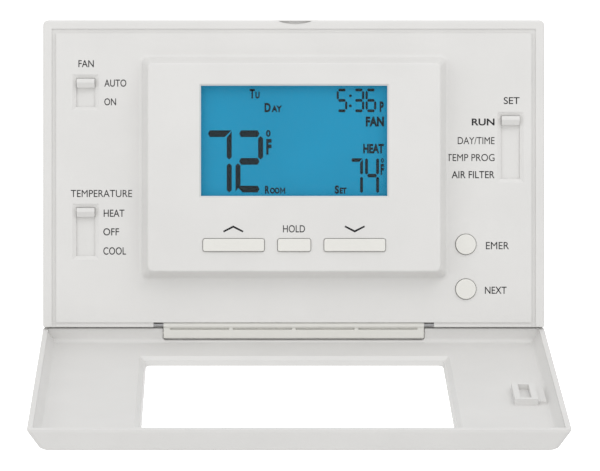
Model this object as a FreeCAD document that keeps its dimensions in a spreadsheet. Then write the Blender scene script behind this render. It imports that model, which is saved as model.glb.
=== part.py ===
"""Programmable wall thermostat with a flip-down door.

The row frame: +Z is up, +X is to the right of someone who faces the thermostat, and -Y points
out of the wall. The origin is the centre of the wall plate's back face, which lies on the wall.
"Depth" means distance in front of the wall, so depth is -Y.
All sizes are in millimetres and angles in degrees.
"""
import FreeCAD, Part
import math
import os
import re
import Sketcher

# ---------------------------------------------------------------------------------------------
# Driving dimensions: alias, value, meaning
# ---------------------------------------------------------------------------------------------
SIZES = [
    ("case_width", 146.0, "outline of the case and of the door, across"),
    ("case_height", 90.2, "outline of the case and of the door, up"),
    ("case_corner", 1.6, "radius of the outline's corners"),
    ("case_depth", 24.8, "depth of the rim plane, where the closed door's walls end"),
    ("case_wall", 2.0, "thickness of the case's side walls"),
    ("wall_gap", 0.6, "gap between the case's back edge and the wall"),
    ("rim_width", 2.6, "flat rim that the door closes on"),
    ("groove_width", 1.3, "groove between the rim and the fascia"),
    ("groove_depth", 0.4, "depth of that groove below the rim plane"),
    ("fascia_rise", 0.5, "fascia above the rim plane"),
    ("front_thickness", 1.6, "front wall behind the rim plane"),
    ("hinge_boss", 3.6, "height of the thick bottom wall that holds the hinge pin"),
    ("hinge_boss_length", 5.4, "length of that thick wall along the depth"),
    ("rim_edge", 0.8, "radius round the outer edge of the rim"),
    ("latch_radius", 12.9, "radius of the curved floor of the latch slot in the top edge"),
    ("latch_drop", 1.3, "lowest point of the latch slot below the top of the case"),
    ("latch_length", 1.4, "length of the latch slot along the depth"),
    ("latch_column", 0.4, "middle of the latch slot"),
    ("latch_roof", 0.35, "thin roof over the latch slot"),
    ("bezel_width", 84.5, "raised display bezel's face, across"),
    ("bezel_height", 60.2, "raised display bezel's face, up"),
    ("bezel_centre", 2.1, "height of the bezel's middle"),
    ("bezel_rise", 6.9, "bezel's face above the rim plane"),
    ("bezel_draft", 2.2, "how much wider the bezel's foot is, on each side"),
    ("bezel_corner", 1.6, "radius of the bezel's upright corners"),
    ("bezel_edge", 0.55, "radius round the bezel's face"),
    ("bezel_foot", 1.2, "hollow radius where the bezel meets the fascia"),
    ("bezel_wall", 1.8, "wall of the hollow bezel"),
    ("screen_width", 53.9, "display opening, across"),
    ("screen_height", 31.9, "display opening, up"),
    ("screen_centre", 9.75, "height of the display's middle"),
    ("screen_draft", 0.5, "bevel round the display opening"),
    ("fit_gap", 0.15, "clearance round keys and knobs"),
    ("seat_gap", 0.05, "clearance between stacked pieces"),
    # hinge and door
    ("axis_inset", 1.0, "hinge axis behind the rim plane"),
    ("axis_height", 1.5, "hinge axis above the bottom of the case"),
    ("pin_radius", 0.5, "hinge pin"),
    ("running_gap", 0.04, "radial clearance of the pin in the leaf"),
    ("barrel_radius", 0.95, "round back of the hinge leaf"),
    ("hinge_gap", 0.3, "room round the barrel"),
    ("leaf_length", 75.8, "length of the hinge leaf"),
    ("leaf_reach", 4.05, "hinge leaf from the axis to its free edge"),
    ("leaf_inner", 0.5, "leaf's inner face above the axis"),
    ("leaf_outer", 0.85, "leaf's outer face below the axis"),
    ("notch_floor", 0.45, "thin floor left behind the leaf in the door's hinge wall"),
    ("stub_length", 2.9, "bare length of pin at each end of the leaf"),
    ("pin_seat", 2.5, "length of pin held in the case at each end"),
    ("ledge_height", 0.7, "height of the step under the fascia that stops the open door"),
    ("ledge_depth", 2.2, "depth of that step behind the hinge axis"),
    ("ledge_chamfer", 0.15, "chamfer on the step's front edge"),
    ("door_depth", 6.65, "door's face in front of the rim plane when closed"),
    ("door_gap", 0.2, "gap between the rim and the closed door's walls"),
    ("door_wall", 1.5, "thickness of the door's walls"),
    ("door_face", 2.4, "thickness of the door's face"),
    ("door_bevel", 3.6, "width of the bevel down the door's left and right sides"),
    ("far_bevel", 1.2, "width of the bevel on the side away from the hinge"),
    ("door_straight", 0.9, "straight part of the door's walls before the bevel"),
    ("door_angle", 106.2, "how far the door stands open"),
    ("window_gap", 0.4, "gap between the door's window and the bezel's face"),
    ("margin_width", 1.2, "sloped margin round the window, on the door's inside"),
    ("margin_depth", 1.0, "depth of that margin at the window's edge"),
    ("floor_radius", 1.2, "radius between the door's floor and its walls"),
    ("catch_width", 6.4, "block on the door's inside, across"),
    ("catch_length", 14.0, "block on the door's inside, along the door"),
    ("catch_height", 1.9, "block above the door's inside face"),
    ("catch_centre", 63.4, "middle of the block, to the right"),
    ("catch_end", 57.2, "far end of the block from the hinge axis"),
    # keys
    ("key_height", 3.67, "rectangular keys, up"),
    ("long_key_width", 17.7, "up and down keys, across"),
    ("short_key_width", 9.5, "middle key, across"),
    ("key_spacing", 17.5, "up and down keys from the middle key"),
    ("key_row", -20.4, "height of the row of rectangular keys"),
    ("key_rise", 0.75, "keys above the surface round them"),
    ("key_corner", 0.6, "corner radius of the rectangular keys"),
    ("key_edge", 0.3, "edge radius of the keys' faces"),
    ("key_flange", 0.9, "width of the flange that keeps a key in"),
    ("flange_thickness", 0.75, "thickness of that flange"),
    ("round_key_radius", 2.95, "round keys"),
    ("round_key_gap", 5.55, "bezel's foot to the middle of the round keys"),
    ("emer_row", -20.2, "height of the upper round key"),
    ("next_row", -33.2, "height of the lower round key"),
    # slide switches
    ("slot_width", 5.5, "slots of the slide switches"),
    ("slot_bevel", 1.1, "width of the bevel round a slot"),
    ("slot_bevel_depth", 0.6, "depth of that bevel"),
    ("guide_width", 8.2, "guide channel behind a slot"),
    ("guide_depth", 1.0, "depth of the guide channel into the front wall"),
    ("plate_width", 7.6, "slide plate behind a slot"),
    ("plate_thickness", 0.8, "thickness of the slide plate"),
    ("plate_overlap", 1.0, "how far a slide plate covers each end of its slot"),
    ("knob_height", 2.6, "height of the knob"),
    ("knob_rise", 1.3, "knob above the fascia"),
    ("knob_ridge", 0.5, "flat top of the knob's ridge"),
    ("left_column", -60.5, "fan and mode switches"),
    ("right_column", 63.0, "program switch"),
    ("fan_top", 26.65, "fan knob in its top position"),
    ("fan_travel", 5.4, "travel of the fan knob"),
    ("mode_top", -10.9, "mode knob in its top position"),
    ("mode_travel", 11.2, "travel of the mode knob"),
    ("program_top", 15.8, "program knob in its top position"),
    ("program_travel", 15.5, "travel of the program knob"),
    # board and display stack
    ("board_width", 138.0, "main board, across"),
    ("board_height", 72.0, "main board, up"),
    ("board_thickness", 1.6, "main board"),
    ("board_gap", 1.8, "front of the board behind the inside of the front wall"),
    ("lens_thickness", 1.3, "display lens"),
    ("lens_lip", 3.4, "lens beyond the display opening on each side"),
    ("glass_thickness", 2.2, "display glass"),
    ("glass_lip", 2.2, "display glass beyond the opening on each side"),
    ("guide_thickness", 2.7, "light guide"),
    ("frame_wall", 1.4, "display frame"),
    ("strip_width", 1.5, "elastomer contact strips"),
    ("mat_thickness", 0.8, "main keypad's sheet"),
    ("side_mat_thickness", 0.4, "side keypad's sheet"),
    ("dome_radius", 2.4, "domes of the keypads"),
    ("post_radius", 1.8, "posts that carry the board"),
    ("board_screw_radius", 0.8, "board screws"),
    # rear chassis, battery well
    ("chassis_back", 8.4, "depth of the chassis panel's back face"),
    ("chassis_thickness", 1.5, "chassis panel"),
    ("chassis_gap", 0.3, "gap between the chassis and the case"),
    ("boss_radius", 2.4, "screw bosses of the case"),
    ("boss_row", 39.3, "screw bosses above and below the middle"),
    ("chassis_screw_radius", 1.1, "chassis screws"),
    ("cell_radius", 7.2, "AA cell"),
    ("cell_length", 49.2, "AA cell without its nub"),
    ("nub_radius", 2.75, "nub of an AA cell"),
    ("nub_length", 1.2, "nub of an AA cell"),
    ("cell_spacing", 14.8, "distance between the two cells"),
    ("cell_row", -22.6, "height midway between the cells"),
    ("cell_column", -37.5, "middle of the battery well"),
    ("cell_depth", 10.9, "depth of the cells' axes"),
    ("well_length", 57.2, "battery well inside, along the cells"),
    ("well_wall", 1.2, "walls of the battery well"),
    ("contact_thickness", 0.4, "battery contacts"),
    # wall plate
    ("plate_gap", 0.4, "gap between the wall plate and the case"),
    ("panel_thickness", 2.2, "wall plate's panel"),
    ("rim_height", 6.0, "wall plate's rim, from the wall"),
    ("rim_thickness", 2.0, "wall plate's rim"),
    ("screw_spacing", 83.3, "distance between the two mounting slots"),
    ("screw_slot_length", 9.0, "mounting slot, end to end"),
    ("screw_slot_radius", 2.1, "half the width of a mounting slot"),
    ("wire_width", 32.0, "wire opening, across"),
    ("wire_height", 18.0, "wire opening, up"),
    ("wire_column", 10.0, "middle of the wire opening"),
    ("wire_row", 19.0, "height of the wire opening's middle"),
    ("hook_width", 8.0, "hooks that hold the front unit"),
    ("hook_thickness", 1.6, "hooks that hold the front unit"),
    ("hook_column", 30.0, "hooks from the middle"),
    # terminals
    ("terminal_count", 8.0, "number of wire terminals"),
    ("terminal_pitch", 6.4, "distance between terminals"),
    ("terminal_column", 33.0, "middle of the terminal block"),
    ("terminal_row", -20.0, "height of the terminal block's middle"),
    ("terminal_height", 12.0, "terminal block, up"),
    ("terminal_rise", 9.0, "terminal block above the wall plate's panel"),
    ("terminal_screw_radius", 1.4, "terminal screws"),
    ("terminal_head_radius", 2.4, "heads of the terminal screws"),
    ("contact_pin_radius", 0.45, "header pins"),
    ("relay_width", 12.0, "relays, across"),
    ("relay_height", 18.0, "relays, up"),
    ("relay_depth", 8.8, "relays behind the board"),
]

doc = FreeCAD.newDocument("thermostat")
sheet = doc.addObject("Spreadsheet::Sheet", "size")
for row, (alias, number, meaning) in enumerate(SIZES, start=1):
    sheet.set("A%d" % row, alias)
    sheet.set("B%d" % row, repr(number))
    sheet.set("C%d" % row, meaning)
    sheet.setAlias("B%d" % row, alias)
doc.recompute()

ALIASES = {alias for alias, number, meaning in SIZES}
parts = []


# ---------------------------------------------------------------------------------------------
# Expressions
# ---------------------------------------------------------------------------------------------
def bound(text):
    """Turn an expression in plain alias names into one that points at the sheet."""
    return re.sub(r"[a-z_]+", lambda word: "size." + word[0] if word[0] in ALIASES else word[0], text)


def number_of(text):
    result = sheet.evalExpression(bound(text))
    return float(getattr(result, "Value", result))


def keep(item, label):
    """Name a finished sub-part: its label names its file."""
    item.Label = label
    parts.append(item)
    return item


# Depths and heights that several sub-parts share
FRONT_INSIDE = "(case_depth - front_thickness)"
FASCIA = "(case_depth + fascia_rise)"
BEZEL_FACE = "(case_depth + bezel_rise)"
BEZEL_INSIDE = "(case_depth + bezel_rise - bezel_wall)"
BOARD_FRONT = "(case_depth - front_thickness - board_gap)"
BOARD_BACK = "(case_depth - front_thickness - board_gap - board_thickness)"
AXIS_DEPTH = "(case_depth - axis_inset)"
AXIS_Z = "(axis_height - case_height / 2)"
LENS_BACK = "(%s - seat_gap - lens_thickness)" % BEZEL_INSIDE
GLASS_FRONT = "(%s - seat_gap)" % LENS_BACK
GLASS_BACK = "(%s - glass_thickness)" % GLASS_FRONT
CHASSIS_FRONT = "(chassis_back + chassis_thickness)"
RECESS_HALF = "(leaf_length / 2 + stub_length)"
ROUND_COLUMN = "(bezel_width / 2 + bezel_draft + round_key_gap)"
CELL_ROWS = ("(cell_row + cell_spacing / 2)", "(cell_row - cell_spacing / 2)")


# ---------------------------------------------------------------------------------------------
# PartDesign helpers
# ---------------------------------------------------------------------------------------------
def rectangle(left, right, low, high):
    return [(left, low), (right, low), (right, high), (left, high)]


def centred(middle_x, middle_y, width, height):
    half_width = "(%s) / 2" % width
    half_height = "(%s) / 2" % height
    return rectangle("%s - %s" % (middle_x, half_width), "%s + %s" % (middle_x, half_width),
                     "%s - %s" % (middle_y, half_height), "%s + %s" % (middle_y, half_height))


def add_outline(sketch, points):
    """A closed outline of straight lines whose corners are bound to the sheet."""
    corners = [FreeCAD.Vector(number_of(x), number_of(y), 0) for x, y in points]
    first = sketch.GeometryCount
    count = len(corners)
    for index in range(count):
        sketch.addGeometry(Part.LineSegment(corners[index], corners[(index + 1) % count]), False)
    for index in range(count):
        following = first + (index + 1) % count
        sketch.addConstraint(Sketcher.Constraint("Coincident", first + index, 2, following, 1))
    for index, (x, y) in enumerate(points):
        for kind, text, number in (("DistanceX", x, corners[index].x), ("DistanceY", y, corners[index].y)):
            rule = sketch.addConstraint(Sketcher.Constraint(kind, -1, 1, first + index, 1, number))
            sketch.setExpression("Constraints[%d]" % rule, bound(text))


def add_rounded_rectangle(sketch, points, radius):
    """A rectangle with equal arcs at its corners, bound to the sheet like a sharp one."""
    (left, low), (right, high) = points[0], points[2]
    round_by = number_of(radius)
    x_low, x_high = number_of(left), number_of(right)
    y_low, y_high = number_of(low), number_of(high)
    centres = [(x_high - round_by, y_low + round_by), (x_high - round_by, y_high - round_by),
               (x_low + round_by, y_high - round_by), (x_low + round_by, y_low + round_by)]
    normal = FreeCAD.Vector(0, 0, 1)
    arcs = []
    for turn, (x, y) in enumerate(centres):
        circle = Part.Circle(FreeCAD.Vector(x, y, 0), normal, round_by)
        start = (turn - 1) * math.pi / 2
        arcs.append(Part.ArcOfCircle(circle, start, start + math.pi / 2))
    sides = [Part.LineSegment(arcs[turn - 1].EndPoint, arcs[turn].StartPoint) for turn in range(4)]
    side = [sketch.addGeometry(item, False) for item in sides]
    corner = [sketch.addGeometry(item, False) for item in arcs]
    for turn in range(4):
        sketch.addConstraint(Sketcher.Constraint("Tangent", side[turn], 2, corner[turn], 1))
        sketch.addConstraint(Sketcher.Constraint("Tangent", corner[turn - 1], 2, side[turn], 1))
        sketch.addConstraint(Sketcher.Constraint("Vertical" if turn % 2 else "Horizontal", side[turn]))
    rules = [("DistanceY", side[0], low, y_low), ("DistanceX", side[1], right, x_high),
             ("DistanceY", side[2], high, y_high), ("DistanceX", side[3], left, x_low)]
    for kind, line, text, number in rules:
        rule = sketch.addConstraint(Sketcher.Constraint(kind, -1, 1, line, 1, number))
        sketch.setExpression("Constraints[%d]" % rule, bound(text))
    for arc in corner:
        rule = sketch.addConstraint(Sketcher.Constraint("Radius", arc, round_by))
        sketch.setExpression("Constraints[%d]" % rule, bound(radius))


def add_circle(sketch, x, y, radius):
    centre = FreeCAD.Vector(number_of(x), number_of(y), 0)
    normal = FreeCAD.Vector(0, 0, 1)
    circle = sketch.addGeometry(Part.Circle(centre, normal, number_of(radius)), False)
    for kind, text, number in (("DistanceX", x, centre.x), ("DistanceY", y, centre.y)):
        rule = sketch.addConstraint(Sketcher.Constraint(kind, -1, 1, circle, 3, number))
        sketch.setExpression("Constraints[%d]" % rule, bound(text))
    rule = sketch.addConstraint(Sketcher.Constraint("Radius", circle, number_of(radius)))
    sketch.setExpression("Constraints[%d]" % rule, bound(radius))


def sketch_on(body, plane, offset, outlines=(), circles=(), corner=None):
    """On XZ_Plane the sketch's x is X, its y is Z, and its normal and offset are depth.
    On YZ_Plane they are Y, Z and X, and on XY_Plane X, Y and Z."""
    sketch = body.newObject("Sketcher::SketchObject", body.Label + "_sketch")
    base = next(item for item in body.Origin.OriginFeatures if item.Role == plane)
    sketch.AttachmentSupport = [(base, "")]
    sketch.MapMode = "FlatFace"
    sketch.setExpression("AttachmentOffset.Base.z", bound(offset))
    for points in outlines:
        if corner:
            add_rounded_rectangle(sketch, points, corner)
        else:
            add_outline(sketch, points)
    for x, y, radius in circles:
        add_circle(sketch, x, y, radius)
    return sketch


def new_body(label):
    body = doc.addObject("PartDesign::Body", label)
    return keep(body, label)


def feature(body, kind, name):
    item = body.newObject("PartDesign::" + kind, name)
    body.Tip = item
    return item


def pad(body, sketch, length, name, taper=None):
    item = feature(body, "Pad", name)
    item.Profile = sketch
    item.setExpression("Length", bound(length))
    if taper:
        item.setExpression("TaperAngle", bound(taper))
    return item


def pocket(body, sketch, length, name, forward=False):
    """Cut against the sketch's normal, or along it when forward is set."""
    item = feature(body, "Pocket", name)
    item.Profile = sketch
    item.Reversed = forward
    item.setExpression("Length", bound(length))
    return item


def loft(body, kind, name, sketches):
    item = feature(body, kind, name)
    item.Profile = sketches[0]
    item.Sections = sketches[1:]
    item.Ruled = True
    return item


def dress(body, kind, size, wanted, name):
    """Fillet or chamfer the edges of the current tip that wanted() picks."""
    doc.recompute()
    base = body.Tip
    edges = ["Edge%d" % (index + 1) for index, edge in enumerate(base.Shape.Edges) if wanted(edge)]
    if not edges:
        raise RuntimeError("%s %s found no edge" % (body.Label, name))
    item = feature(body, kind, name)
    item.Base = (base, edges)
    item.setExpression("Radius" if kind == "Fillet" else "Size", bound(size))
    return item


def ends(edge):
    return [vertex.Point for vertex in edge.Vertexes]


def runs_along(edge, axis):
    """True when a straight edge runs along "x", "y" or "z"."""
    points = ends(edge)
    if len(points) < 2:
        return False
    step = points[1] - points[0]
    return all(abs(getattr(step, other)) < 1e-4 for other in "xyz" if other != axis)


def lies_at(edge, **where):
    """True when every end of an edge lies at the given x, y or z."""
    points = ends(edge)
    return bool(points) and all(
        abs(getattr(point, axis) - place) < 1e-3 for point in points for axis, place in where.items())


# ---------------------------------------------------------------------------------------------
# Part primitives
# ---------------------------------------------------------------------------------------------
def block(name, x, depth, z):
    """A box between two X values, two depths and two heights."""
    item = doc.addObject("Part::Box", name)
    for side, (low, high) in (("Length", x), ("Width", depth), ("Height", z)):
        item.setExpression(side, bound("(%s) - (%s)" % (high, low)))
    for place, text in (("x", x[0]), ("y", "-(%s)" % depth[1]), ("z", z[0])):
        item.setExpression("Placement.Base." + place, bound(text))
    return item


def middle(centre, size):
    return ("%s - (%s) / 2" % (centre, size), "%s + (%s) / 2" % (centre, size))


def rod(name, x, z, depth, radius):
    """A cylinder that points out of the wall between two depths."""
    item = doc.addObject("Part::Cylinder", name)
    item.Placement.Rotation = FreeCAD.Rotation(FreeCAD.Vector(1, 0, 0), 90)
    item.setExpression("Radius", bound(radius))
    item.setExpression("Height", bound("(%s) - (%s)" % (depth[1], depth[0])))
    for place, text in (("x", x), ("y", "-(%s)" % depth[0]), ("z", z)):
        item.setExpression("Placement.Base." + place, bound(text))
    return item


def bar(name, x, depth, z, radius):
    """A cylinder along X between two X values."""
    item = doc.addObject("Part::Cylinder", name)
    item.Placement.Rotation = FreeCAD.Rotation(FreeCAD.Vector(0, 1, 0), 90)
    item.setExpression("Radius", bound(radius))
    item.setExpression("Height", bound("(%s) - (%s)" % (x[1], x[0])))
    for place, text in (("x", x[0]), ("y", "-(%s)" % depth), ("z", z)):
        item.setExpression("Placement.Base." + place, bound(text))
    return item


def fused(name, items):
    item = doc.addObject("Part::MultiFuse", name)
    item.Shapes = items
    item.Refine = True
    return item


def cut(name, base, tool):
    item = doc.addObject("Part::Cut", name)
    item.Base = base
    item.Tool = tool
    return item


def group(name, items):
    """Separate solids that make one sub-part, such as a set of screws."""
    item = doc.addObject("Part::Compound", name)
    item.Links = items
    return item


def rounded(name, base, radius, wanted):
    """Round the edges of a primitive that wanted() picks."""
    doc.recompute()
    item = doc.addObject("Part::Fillet", name)
    item.Base = base
    size = number_of(radius)
    item.Edges = [(index + 1, size, size) for index, edge in enumerate(base.Shape.Edges) if wanted(edge)]
    return item


# ---------------------------------------------------------------------------------------------
# Front unit: case
# ---------------------------------------------------------------------------------------------
# Each slide switch: name, column, top position, travel
SWITCHES = (
    ("fan", "left_column", "fan_top", "fan_travel"),
    ("mode", "left_column", "mode_top", "mode_travel"),
    ("program", "right_column", "program_top", "program_travel"),
)
# Each rectangular key: name, middle, width
BAR_KEYS = (
    ("up_key", "-key_spacing", "long_key_width"),
    ("hold_key", "0", "short_key_width"),
    ("down_key", "key_spacing", "long_key_width"),
)
ROUND_KEYS = (("emer_key", "emer_row"), ("next_key", "next_row"))
BOARD_POSTS = (("-51", "33"), ("51", "33"), ("2", "-33"), ("57", "-33"))
CHASSIS_BOSSES = (("-60", "boss_row"), ("60", "boss_row"), ("0", "-boss_row"), ("62", "-boss_row"))
VENT_COUNT = 9
VENT_PITCH = 7.0
VENT_WIDTH = 1.6
VENT_DEPTHS = ("7.5", "18")


def slot_rows(top, travel):
    """Lowest and highest point of a switch's slot."""
    return ("%s - %s - knob_height / 2 - fit_gap" % (top, travel), "%s + knob_height / 2 + fit_gap" % top)


def plate_rows(top, travel):
    """Lowest and highest point of a slide plate in its top position."""
    low, high = slot_rows(top, travel)
    return ("%s - plate_overlap" % low, "%s + %s + plate_overlap" % (high, travel))


def bezel_outline(growth):
    return centred("0", "bezel_centre", "bezel_width + 2 * (%s)" % growth,
                   "bezel_height + 2 * (%s)" % growth)


def make_front_housing():
    body = new_body("front_housing")
    outline = centred("0", "0", "case_width", "case_height")
    pad(body, sketch_on(body, "XZ_Plane", "wall_gap", [outline]), "case_depth - wall_gap", "skirt")
    dress(body, "Fillet", "case_corner", lambda edge: runs_along(edge, "y"), "corners")

    rim_depth = -number_of("case_depth")
    dress(body, "Fillet", "rim_edge", lambda edge: lies_at(edge, y=rim_depth), "rim_rounding")

    inside = "case_width - 2 * case_wall"
    back_cut = centred("0", "0", inside, "case_height - 2 * case_wall")
    hollow = sketch_on(body, "XZ_Plane", "wall_gap", [back_cut])
    pocket(body, hollow, "case_depth - front_thickness - hinge_boss_length - wall_gap", "hollow",
           forward=True)
    half_inside = "case_width / 2 - case_wall"
    front_cut = rectangle("-(%s)" % half_inside, half_inside,
                          "hinge_boss - case_height / 2", "case_height / 2 - case_wall")
    start = "case_depth - front_thickness - hinge_boss_length"
    pocket(body, sketch_on(body, "XZ_Plane", start, [front_cut]), "hinge_boss_length", "front_hollow",
           forward=True)

    # fascia and the groove round it on three sides
    inset = "case_width / 2 - rim_width - groove_width"
    fascia_low = "%s + leaf_inner + 0.2" % AXIS_Z
    fascia = rectangle("-(%s)" % inset, inset, fascia_low, "case_height / 2 - rim_width - groove_width")
    pad(body, sketch_on(body, "XZ_Plane", "case_depth - 0.5", [fascia]), "fascia_rise + 0.5", "fascia")
    half_rim = "case_width / 2 - rim_width"
    top_rim = "case_height / 2 - rim_width"
    groove = [("-(%s)" % half_rim, "-case_height / 2 - 1"), ("-(%s)" % half_rim, top_rim),
              (half_rim, top_rim), (half_rim, "-case_height / 2 - 1"),
              (inset, "-case_height / 2 - 1"), (inset, top_rim + " - groove_width"),
              ("-(%s)" % inset, top_rim + " - groove_width"), ("-(%s)" % inset, "-case_height / 2 - 1")]
    pocket(body, sketch_on(body, "XZ_Plane", "case_depth", [groove]), "groove_depth", "groove")

    # raised bezel, hollow behind
    foot = sketch_on(body, "XZ_Plane", "case_depth", [bezel_outline("bezel_draft")])
    face = sketch_on(body, "XZ_Plane", BEZEL_FACE, [bezel_outline("0")])
    loft(body, "AdditiveLoft", "bezel", [foot, face])
    foot_depth = -number_of(FASCIA)
    face_depth = -number_of(BEZEL_FACE)

    def is_bezel_corner(edge):
        depths = sorted(point.y for point in ends(edge))
        return len(depths) == 2 and abs(depths[0] - face_depth) < 1e-3 and abs(depths[1] - foot_depth) < 1e-3
    dress(body, "Fillet", "bezel_corner", is_bezel_corner, "bezel_corners")
    dress(body, "Fillet", "bezel_edge", lambda edge: lies_at(edge, y=face_depth), "bezel_rounding")
    dress(body, "Fillet", "bezel_foot", is_bezel_foot, "bezel_foot_rounding")
    cavity = sketch_on(body, "XZ_Plane", FRONT_INSIDE + " - 0.01", [bezel_outline("-bezel_wall")])
    pocket(body, cavity, "front_thickness + bezel_rise - bezel_wall + 0.01", "bezel_hollow", forward=True)

    # display opening with a bevelled edge
    opening = centred("0", "screen_centre", "screen_width", "screen_height")
    pocket(body, sketch_on(body, "XZ_Plane", BEZEL_FACE, [opening]), "bezel_wall + 1", "display_opening")
    dress(body, "Chamfer", "screen_draft", is_screen_edge, "display_bevel")

    # key holes
    holes = [centred(x, "key_row", "%s + 2 * fit_gap" % width, "key_height + 2 * fit_gap")
             for name, x, width in BAR_KEYS]
    pocket(body, sketch_on(body, "XZ_Plane", BEZEL_FACE, holes), "bezel_wall + 1", "key_holes")
    dress(body, "Fillet", "key_corner + fit_gap", is_key_hole_corner, "key_hole_corners")
    rounds = [(ROUND_COLUMN, row, "round_key_radius + fit_gap") for name, row in ROUND_KEYS]
    pocket(body, sketch_on(body, "XZ_Plane", FASCIA, circles=rounds), "fascia_rise + front_thickness + 1",
           "round_key_holes")

    # switch slots: a bevel, a through slot and a guide channel behind
    for name, column, top, travel in SWITCHES:
        low, high = slot_rows(top, travel)
        slot_middle = "((%s) + (%s)) / 2" % (low, high)
        slot_length = "(%s) - (%s)" % (high, low)
        slot = centred(column, slot_middle, "slot_width", slot_length)
        wide = centred(column, slot_middle, "slot_width + 2 * slot_bevel",
                       "(%s) + 2 * slot_bevel" % slot_length)
        outer = sketch_on(body, "XZ_Plane", FASCIA, [wide])
        inner = sketch_on(body, "XZ_Plane", FASCIA + " - slot_bevel_depth", [slot])
        loft(body, "SubtractiveLoft", name + "_bevel", [outer, inner])
        pocket(body, sketch_on(body, "XZ_Plane", FASCIA, [slot]), "fascia_rise + front_thickness + 1",
               name + "_slot")
        rows = plate_rows(top, travel)
        guide = rectangle("%s - guide_width / 2" % column, "%s + guide_width / 2" % column,
                          "%s - %s - fit_gap" % (rows[0], travel), "%s + fit_gap" % rows[1])
        pocket(body, sketch_on(body, "XZ_Plane", FRONT_INSIDE, [guide]), "guide_depth", name + "_guide",
               forward=True)

    # hinge: a step under the fascia, a recess for the leaf, and two pin holes
    step_back = "%s - ledge_depth" % AXIS_DEPTH
    step_top = "%s - ledge_height" % AXIS_Z
    half_case = "case_width / 2 + 1"
    step = [("-(%s)" % step_back, "-case_height / 2 - 1"), ("-(%s)" % step_back, step_top),
            ("-(case_depth - ledge_chamfer)", step_top), ("-(case_depth)", step_top + " + ledge_chamfer"),
            ("-(case_depth + 1)", step_top + " + ledge_chamfer"),
            ("-(case_depth + 1)", "-case_height / 2 - 1")]
    pocket(body, sketch_on(body, "YZ_Plane", "-(%s)" % half_case, [step]), "2 * (%s)" % half_case, "step",
           forward=True)
    recess_sketch = sketch_on(body, "YZ_Plane", "-%s" % RECESS_HALF, circles=[
        ("-%s" % AXIS_DEPTH, AXIS_Z, "barrel_radius + hinge_gap")])
    pocket(body, recess_sketch, "2 * " + RECESS_HALF, "barrel_recess", forward=True)
    throat = rectangle("-%s" % AXIS_DEPTH, "-(%s - barrel_radius - hinge_gap)" % AXIS_DEPTH,
                       "-case_height / 2 - 1", AXIS_Z)
    pocket(body, sketch_on(body, "YZ_Plane", "-%s" % RECESS_HALF, [throat]), "2 * " + RECESS_HALF,
           "leaf_recess",
           forward=True)
    pin_holes = sketch_on(body, "YZ_Plane", "-(%s + pin_seat)" % RECESS_HALF, circles=[
        ("-%s" % AXIS_DEPTH, AXIS_Z, "pin_radius + running_gap")])
    pocket(body, pin_holes, "2 * (%s + pin_seat)" % RECESS_HALF, "pin_holes", forward=True)

    # slot for the door's latch in the top edge, with a thin roof
    slot_floor = sketch_on(body, "XZ_Plane", "case_depth + 1", circles=[
        ("latch_column", "case_height / 2 + latch_radius - latch_drop", "latch_radius")])
    pocket(body, slot_floor, "latch_length + 1", "latch_slot")
    roof = rectangle("latch_column - latch_radius / 2", "latch_column + latch_radius / 2",
                     "case_height / 2 - latch_roof", "case_height / 2")
    pad(body, sketch_on(body, "XZ_Plane", "case_depth - latch_length - 0.5", [roof]),
        "latch_length + 0.5 - rim_edge / 2", "latch_roof")

    # vents in the top and bottom walls
    vents = []
    for index in range(VENT_COUNT):
        place = (index - (VENT_COUNT - 1) / 2) * VENT_PITCH
        vents.append(rectangle(repr(place - VENT_WIDTH / 2), repr(place + VENT_WIDTH / 2),
                               "-" + VENT_DEPTHS[1], "-" + VENT_DEPTHS[0]))
    pocket(body, sketch_on(body, "XY_Plane", "case_height / 2 + 1", vents), "case_height + 2", "vents")

    # posts for the board and bosses for the chassis
    posts = sketch_on(body, "XZ_Plane", BOARD_FRONT, circles=[(x, z, "post_radius") for x, z in BOARD_POSTS])
    pad(body, posts, "board_gap + 0.5", "board_posts")
    bosses = sketch_on(body, "XZ_Plane", CHASSIS_FRONT + " + seat_gap",
                       circles=[(x, z, "boss_radius") for x, z in CHASSIS_BOSSES])
    pad(body, bosses, "%s + 0.5 - (%s + seat_gap)" % (FRONT_INSIDE, CHASSIS_FRONT), "chassis_bosses")
    screw_holes = sketch_on(body, "XZ_Plane", CHASSIS_FRONT,
                            circles=[(x, z, "chassis_screw_radius") for x, z in CHASSIS_BOSSES])
    pocket(body, screw_holes, "8", "chassis_screw_holes", forward=True)
    post_holes = sketch_on(body, "XZ_Plane", BOARD_FRONT,
                           circles=[(x, z, "board_screw_radius") for x, z in BOARD_POSTS])
    pocket(body, post_holes, "board_gap + 1", "post_holes", forward=True)
    return body


def is_bezel_foot(edge):
    """The edges where the raised bezel meets the fascia."""
    half_width = number_of("bezel_width / 2 + bezel_draft") + 0.1
    half_height = number_of("bezel_height / 2 + bezel_draft") + 0.1
    return lies_at(edge, y=-number_of(FASCIA)) and all(
        abs(point.x) < half_width and abs(point.z - number_of("bezel_centre")) < half_height
        for point in ends(edge))


def is_key_hole_corner(edge):
    """The corners of the rectangular key holes."""
    return runs_along(edge, "y") and all(
        abs(point.z - number_of("key_row")) < number_of("key_height") and
        abs(point.x) < number_of("key_spacing + long_key_width") and
        -point.y > number_of(BEZEL_INSIDE) - 0.01 for point in ends(edge))


def is_screen_edge(edge):
    """The four edges of the display opening on the bezel's face."""
    if not lies_at(edge, y=-number_of(BEZEL_FACE)):
        return False
    half_width = number_of("screen_width / 2") + 0.01
    return all(abs(point.x) < half_width and abs(point.z - number_of("screen_centre")) <
               number_of("screen_height / 2") + 0.01 for point in ends(edge))


make_front_housing()


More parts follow.
